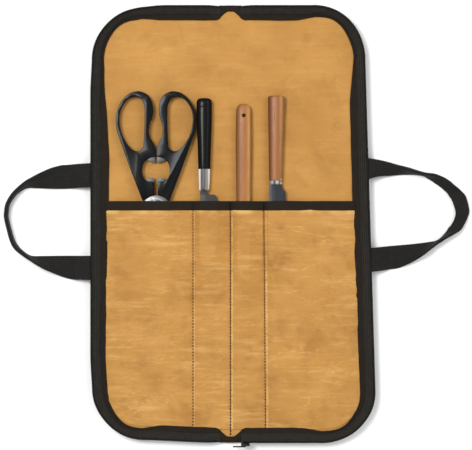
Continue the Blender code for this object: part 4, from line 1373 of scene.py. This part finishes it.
def add_shears_blade(word, side, body):
    """A shears blade with its round shoulder: a flat plate with rounded rims."""
    node = f"shears_{word}_blade"
    low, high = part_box(node)
    turns = np.radians(np.linspace(-20, 200, 33))
    shoulder = np.stack([SHOULDER_X * np.cos(turns), SHOULDER * np.sin(turns)], -1)
    edge, back = (smooth_curve(np.array(rows) / MM, 6) for rows in (BLADE_EDGE, BLADE_BACK))
    points = np.concatenate([shoulder, edge[1:], back[:-1]])
    outline = [(SHEARS_X + side * u, SHEARS_Y + v) for u, v in points]
    hole = circle(SHEARS_X, SHEARS_Y, 0.0027, 20)
    blade = outline_solid(f"shears_{word}_ground_blade", outline, low[2], high[2], [hole], 0.0006, 2)
    fit(blade, "blade", "blade_steel", body, node)


# The screw's outline from the axis, in millimetres: (radius, height above the head's top).
SCREW_HEAD = [
    (2.5, -1.4), (8.0, -1.4), (8.0, -0.6), (7.6, -0.2), (6.6, 0.0), (5.8, -0.1), (5.4, -0.5), (4.8, -0.5),
    (4.4, -0.1), (2.4, 0.0), (0.8, 0.0),
]
SLOT_TURN = math.radians(35)


def add_screw():
    """The pivot screw: a domed head with a raised ring and a coin slot."""
    low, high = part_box("shears_pivot_screw")
    top = high[2]
    profile = [(0.0025, low[2])] + [(radius, top + up) for radius, up in np.array(SCREW_HEAD) / MM]
    rings = [[(x, y, z) for x, y in circle(SHEARS_X, SHEARS_Y, radius, 48)] for radius, z in profile]
    screw = tube("shears_pivot_bolt", np.array(rings))
    c, s = math.cos(SLOT_TURN), math.sin(SLOT_TURN)
    corners = [(-0.0042, -0.0005), (0.0042, -0.0005), (0.0042, 0.0005), (-0.0042, 0.0005)]
    slot = [(SHEARS_X + x * c - y * s, SHEARS_Y + x * s + y * c) for x, y in corners]
    cut_out(screw, outline_solid("slot_cutter", slot, top - 0.0006, top + 0.001))
    sharpen(screw, 30)
    fit(screw, "bright", "bright_steel", "shears", "shears_pivot_screw")
    washer = frame["nodes"]["shears_pivot_washer"]
    washer.data.materials.clear()
    washer.data.materials.append(LOOKS["bright"])


def add_shears():
    add_bow("inner", 1, "shears", False)
    add_bow("outer", -1, "shears_moving_half", True)
    add_shears_blade("lower", -1, "shears")
    add_shears_blade("upper", 1, "shears_moving_half")
    add_screw()


# ---- zip slider ----


def add_slider():
    """The slider and its pull tab, with a window through the tab."""
    for node, name, body, width in (
        ("zip_slider", "zip_slider_body", "slider", 0.0005),
        ("zip_pull_tab", "zip_pull", "pull_tab", 0.0004),
    ):
        piece = link(name, frame["nodes"][node].data.copy())
        if node == "zip_pull_tab":
            low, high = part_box(node)
            left, right = low[0] + 0.0022, low[0] + 0.0082
            window = [(left, -1.0), (right, -1.0), (right, 1.0), (left, 1.0)]
            cut_out(piece, outline_solid("tab_cutter", window, low[2] + 0.0014, high[2] - 0.0014))
        round_edges(piece, width, 3, 30)
        piece.data.shade_smooth()
        sharpen(piece, 40)
        fit(piece, "slider", "slider_metal", body, node)


# ---- stage ----

FLOOR_HALF = 3.0
FLOOR_DROP = 0.0004
WORLD_STRENGTH = 0.56
# Name, place, power and size of each lamp.
LAMPS = [
    ("key", (-0.55, 0.36, 1.6), 19.5, 0.5),
    ("fill", (1.1, -0.4, 1.4), 4, 1.2),
    ("side", (1.1, 0.7, 1.6), 6.5, 1.0),
]
CAMERA_HEIGHT = 1.6
FOCUS_HEIGHT = 0.008
FRAME_WIDTH = 0.4933
FRAME_CENTRE = (0.0057, -0.0010)


def add_stage():
    look = Look("floor", 0.9, specular=0.0)
    look.set("Base Color", (0.98, 0.98, 0.98, 1.0))
    corners = [(x * FLOOR_HALF, y * FLOOR_HALF, 0) for x, y in ((-1, -1), (1, -1), (1, 1), (-1, 1))]
    floor = mesh_object("floor", corners, [(0, 1, 2, 3)])
    floor.data.materials.append(look.material)
    floor.location.z = -FLOOR_DROP
    world = bpy.data.worlds.new("studio")
    world.use_nodes = True
    background = world.node_tree.nodes["Background"]
    background.inputs["Color"].default_value = (1.0, 1.0, 1.0, 1.0)
    background.inputs["Strength"].default_value = WORLD_STRENGTH
    bpy.context.scene.world = world
    for name, place, power, size in LAMPS:
        lamp = bpy.data.lights.new(name, "AREA")
        lamp.energy = power
        lamp.size = size
        light = link(name, lamp)
        light.location = place
        light.rotation_euler = (-Vector(place)).to_track_quat("-Z", "Y").to_euler()


def add_camera():
    data = bpy.data.cameras.new("camera")
    data.sensor_width = 36.0
    data.lens = data.sensor_width * CAMERA_HEIGHT / FRAME_WIDTH
    camera = link("camera", data)
    camera.location = (*FRAME_CENTRE, CAMERA_HEIGHT + FOCUS_HEIGHT)
    bpy.context.scene.camera = camera


def main():
    bpy.context.scene.view_settings.view_transform = "Standard"
    for word, side in HALVES.items():
        add_shell(word, side)
        add_interlining(word, side)
        add_lining(word, side)
        add_band(word, side)
        rows, fold_surface = add_pocket(word, side)
        add_fold_ends(word, side)
    add_fold_stitches(rows, fold_surface)
    add_handle("left", -1, LEFT_EDGES, False)
    add_handle("right", 1, RIGHT_EDGES, True)
    add_black_knife()
    add_gouge()
    add_wooden_knife()
    add_shears()
    add_slider()
    add_stage()
    add_camera()


main()
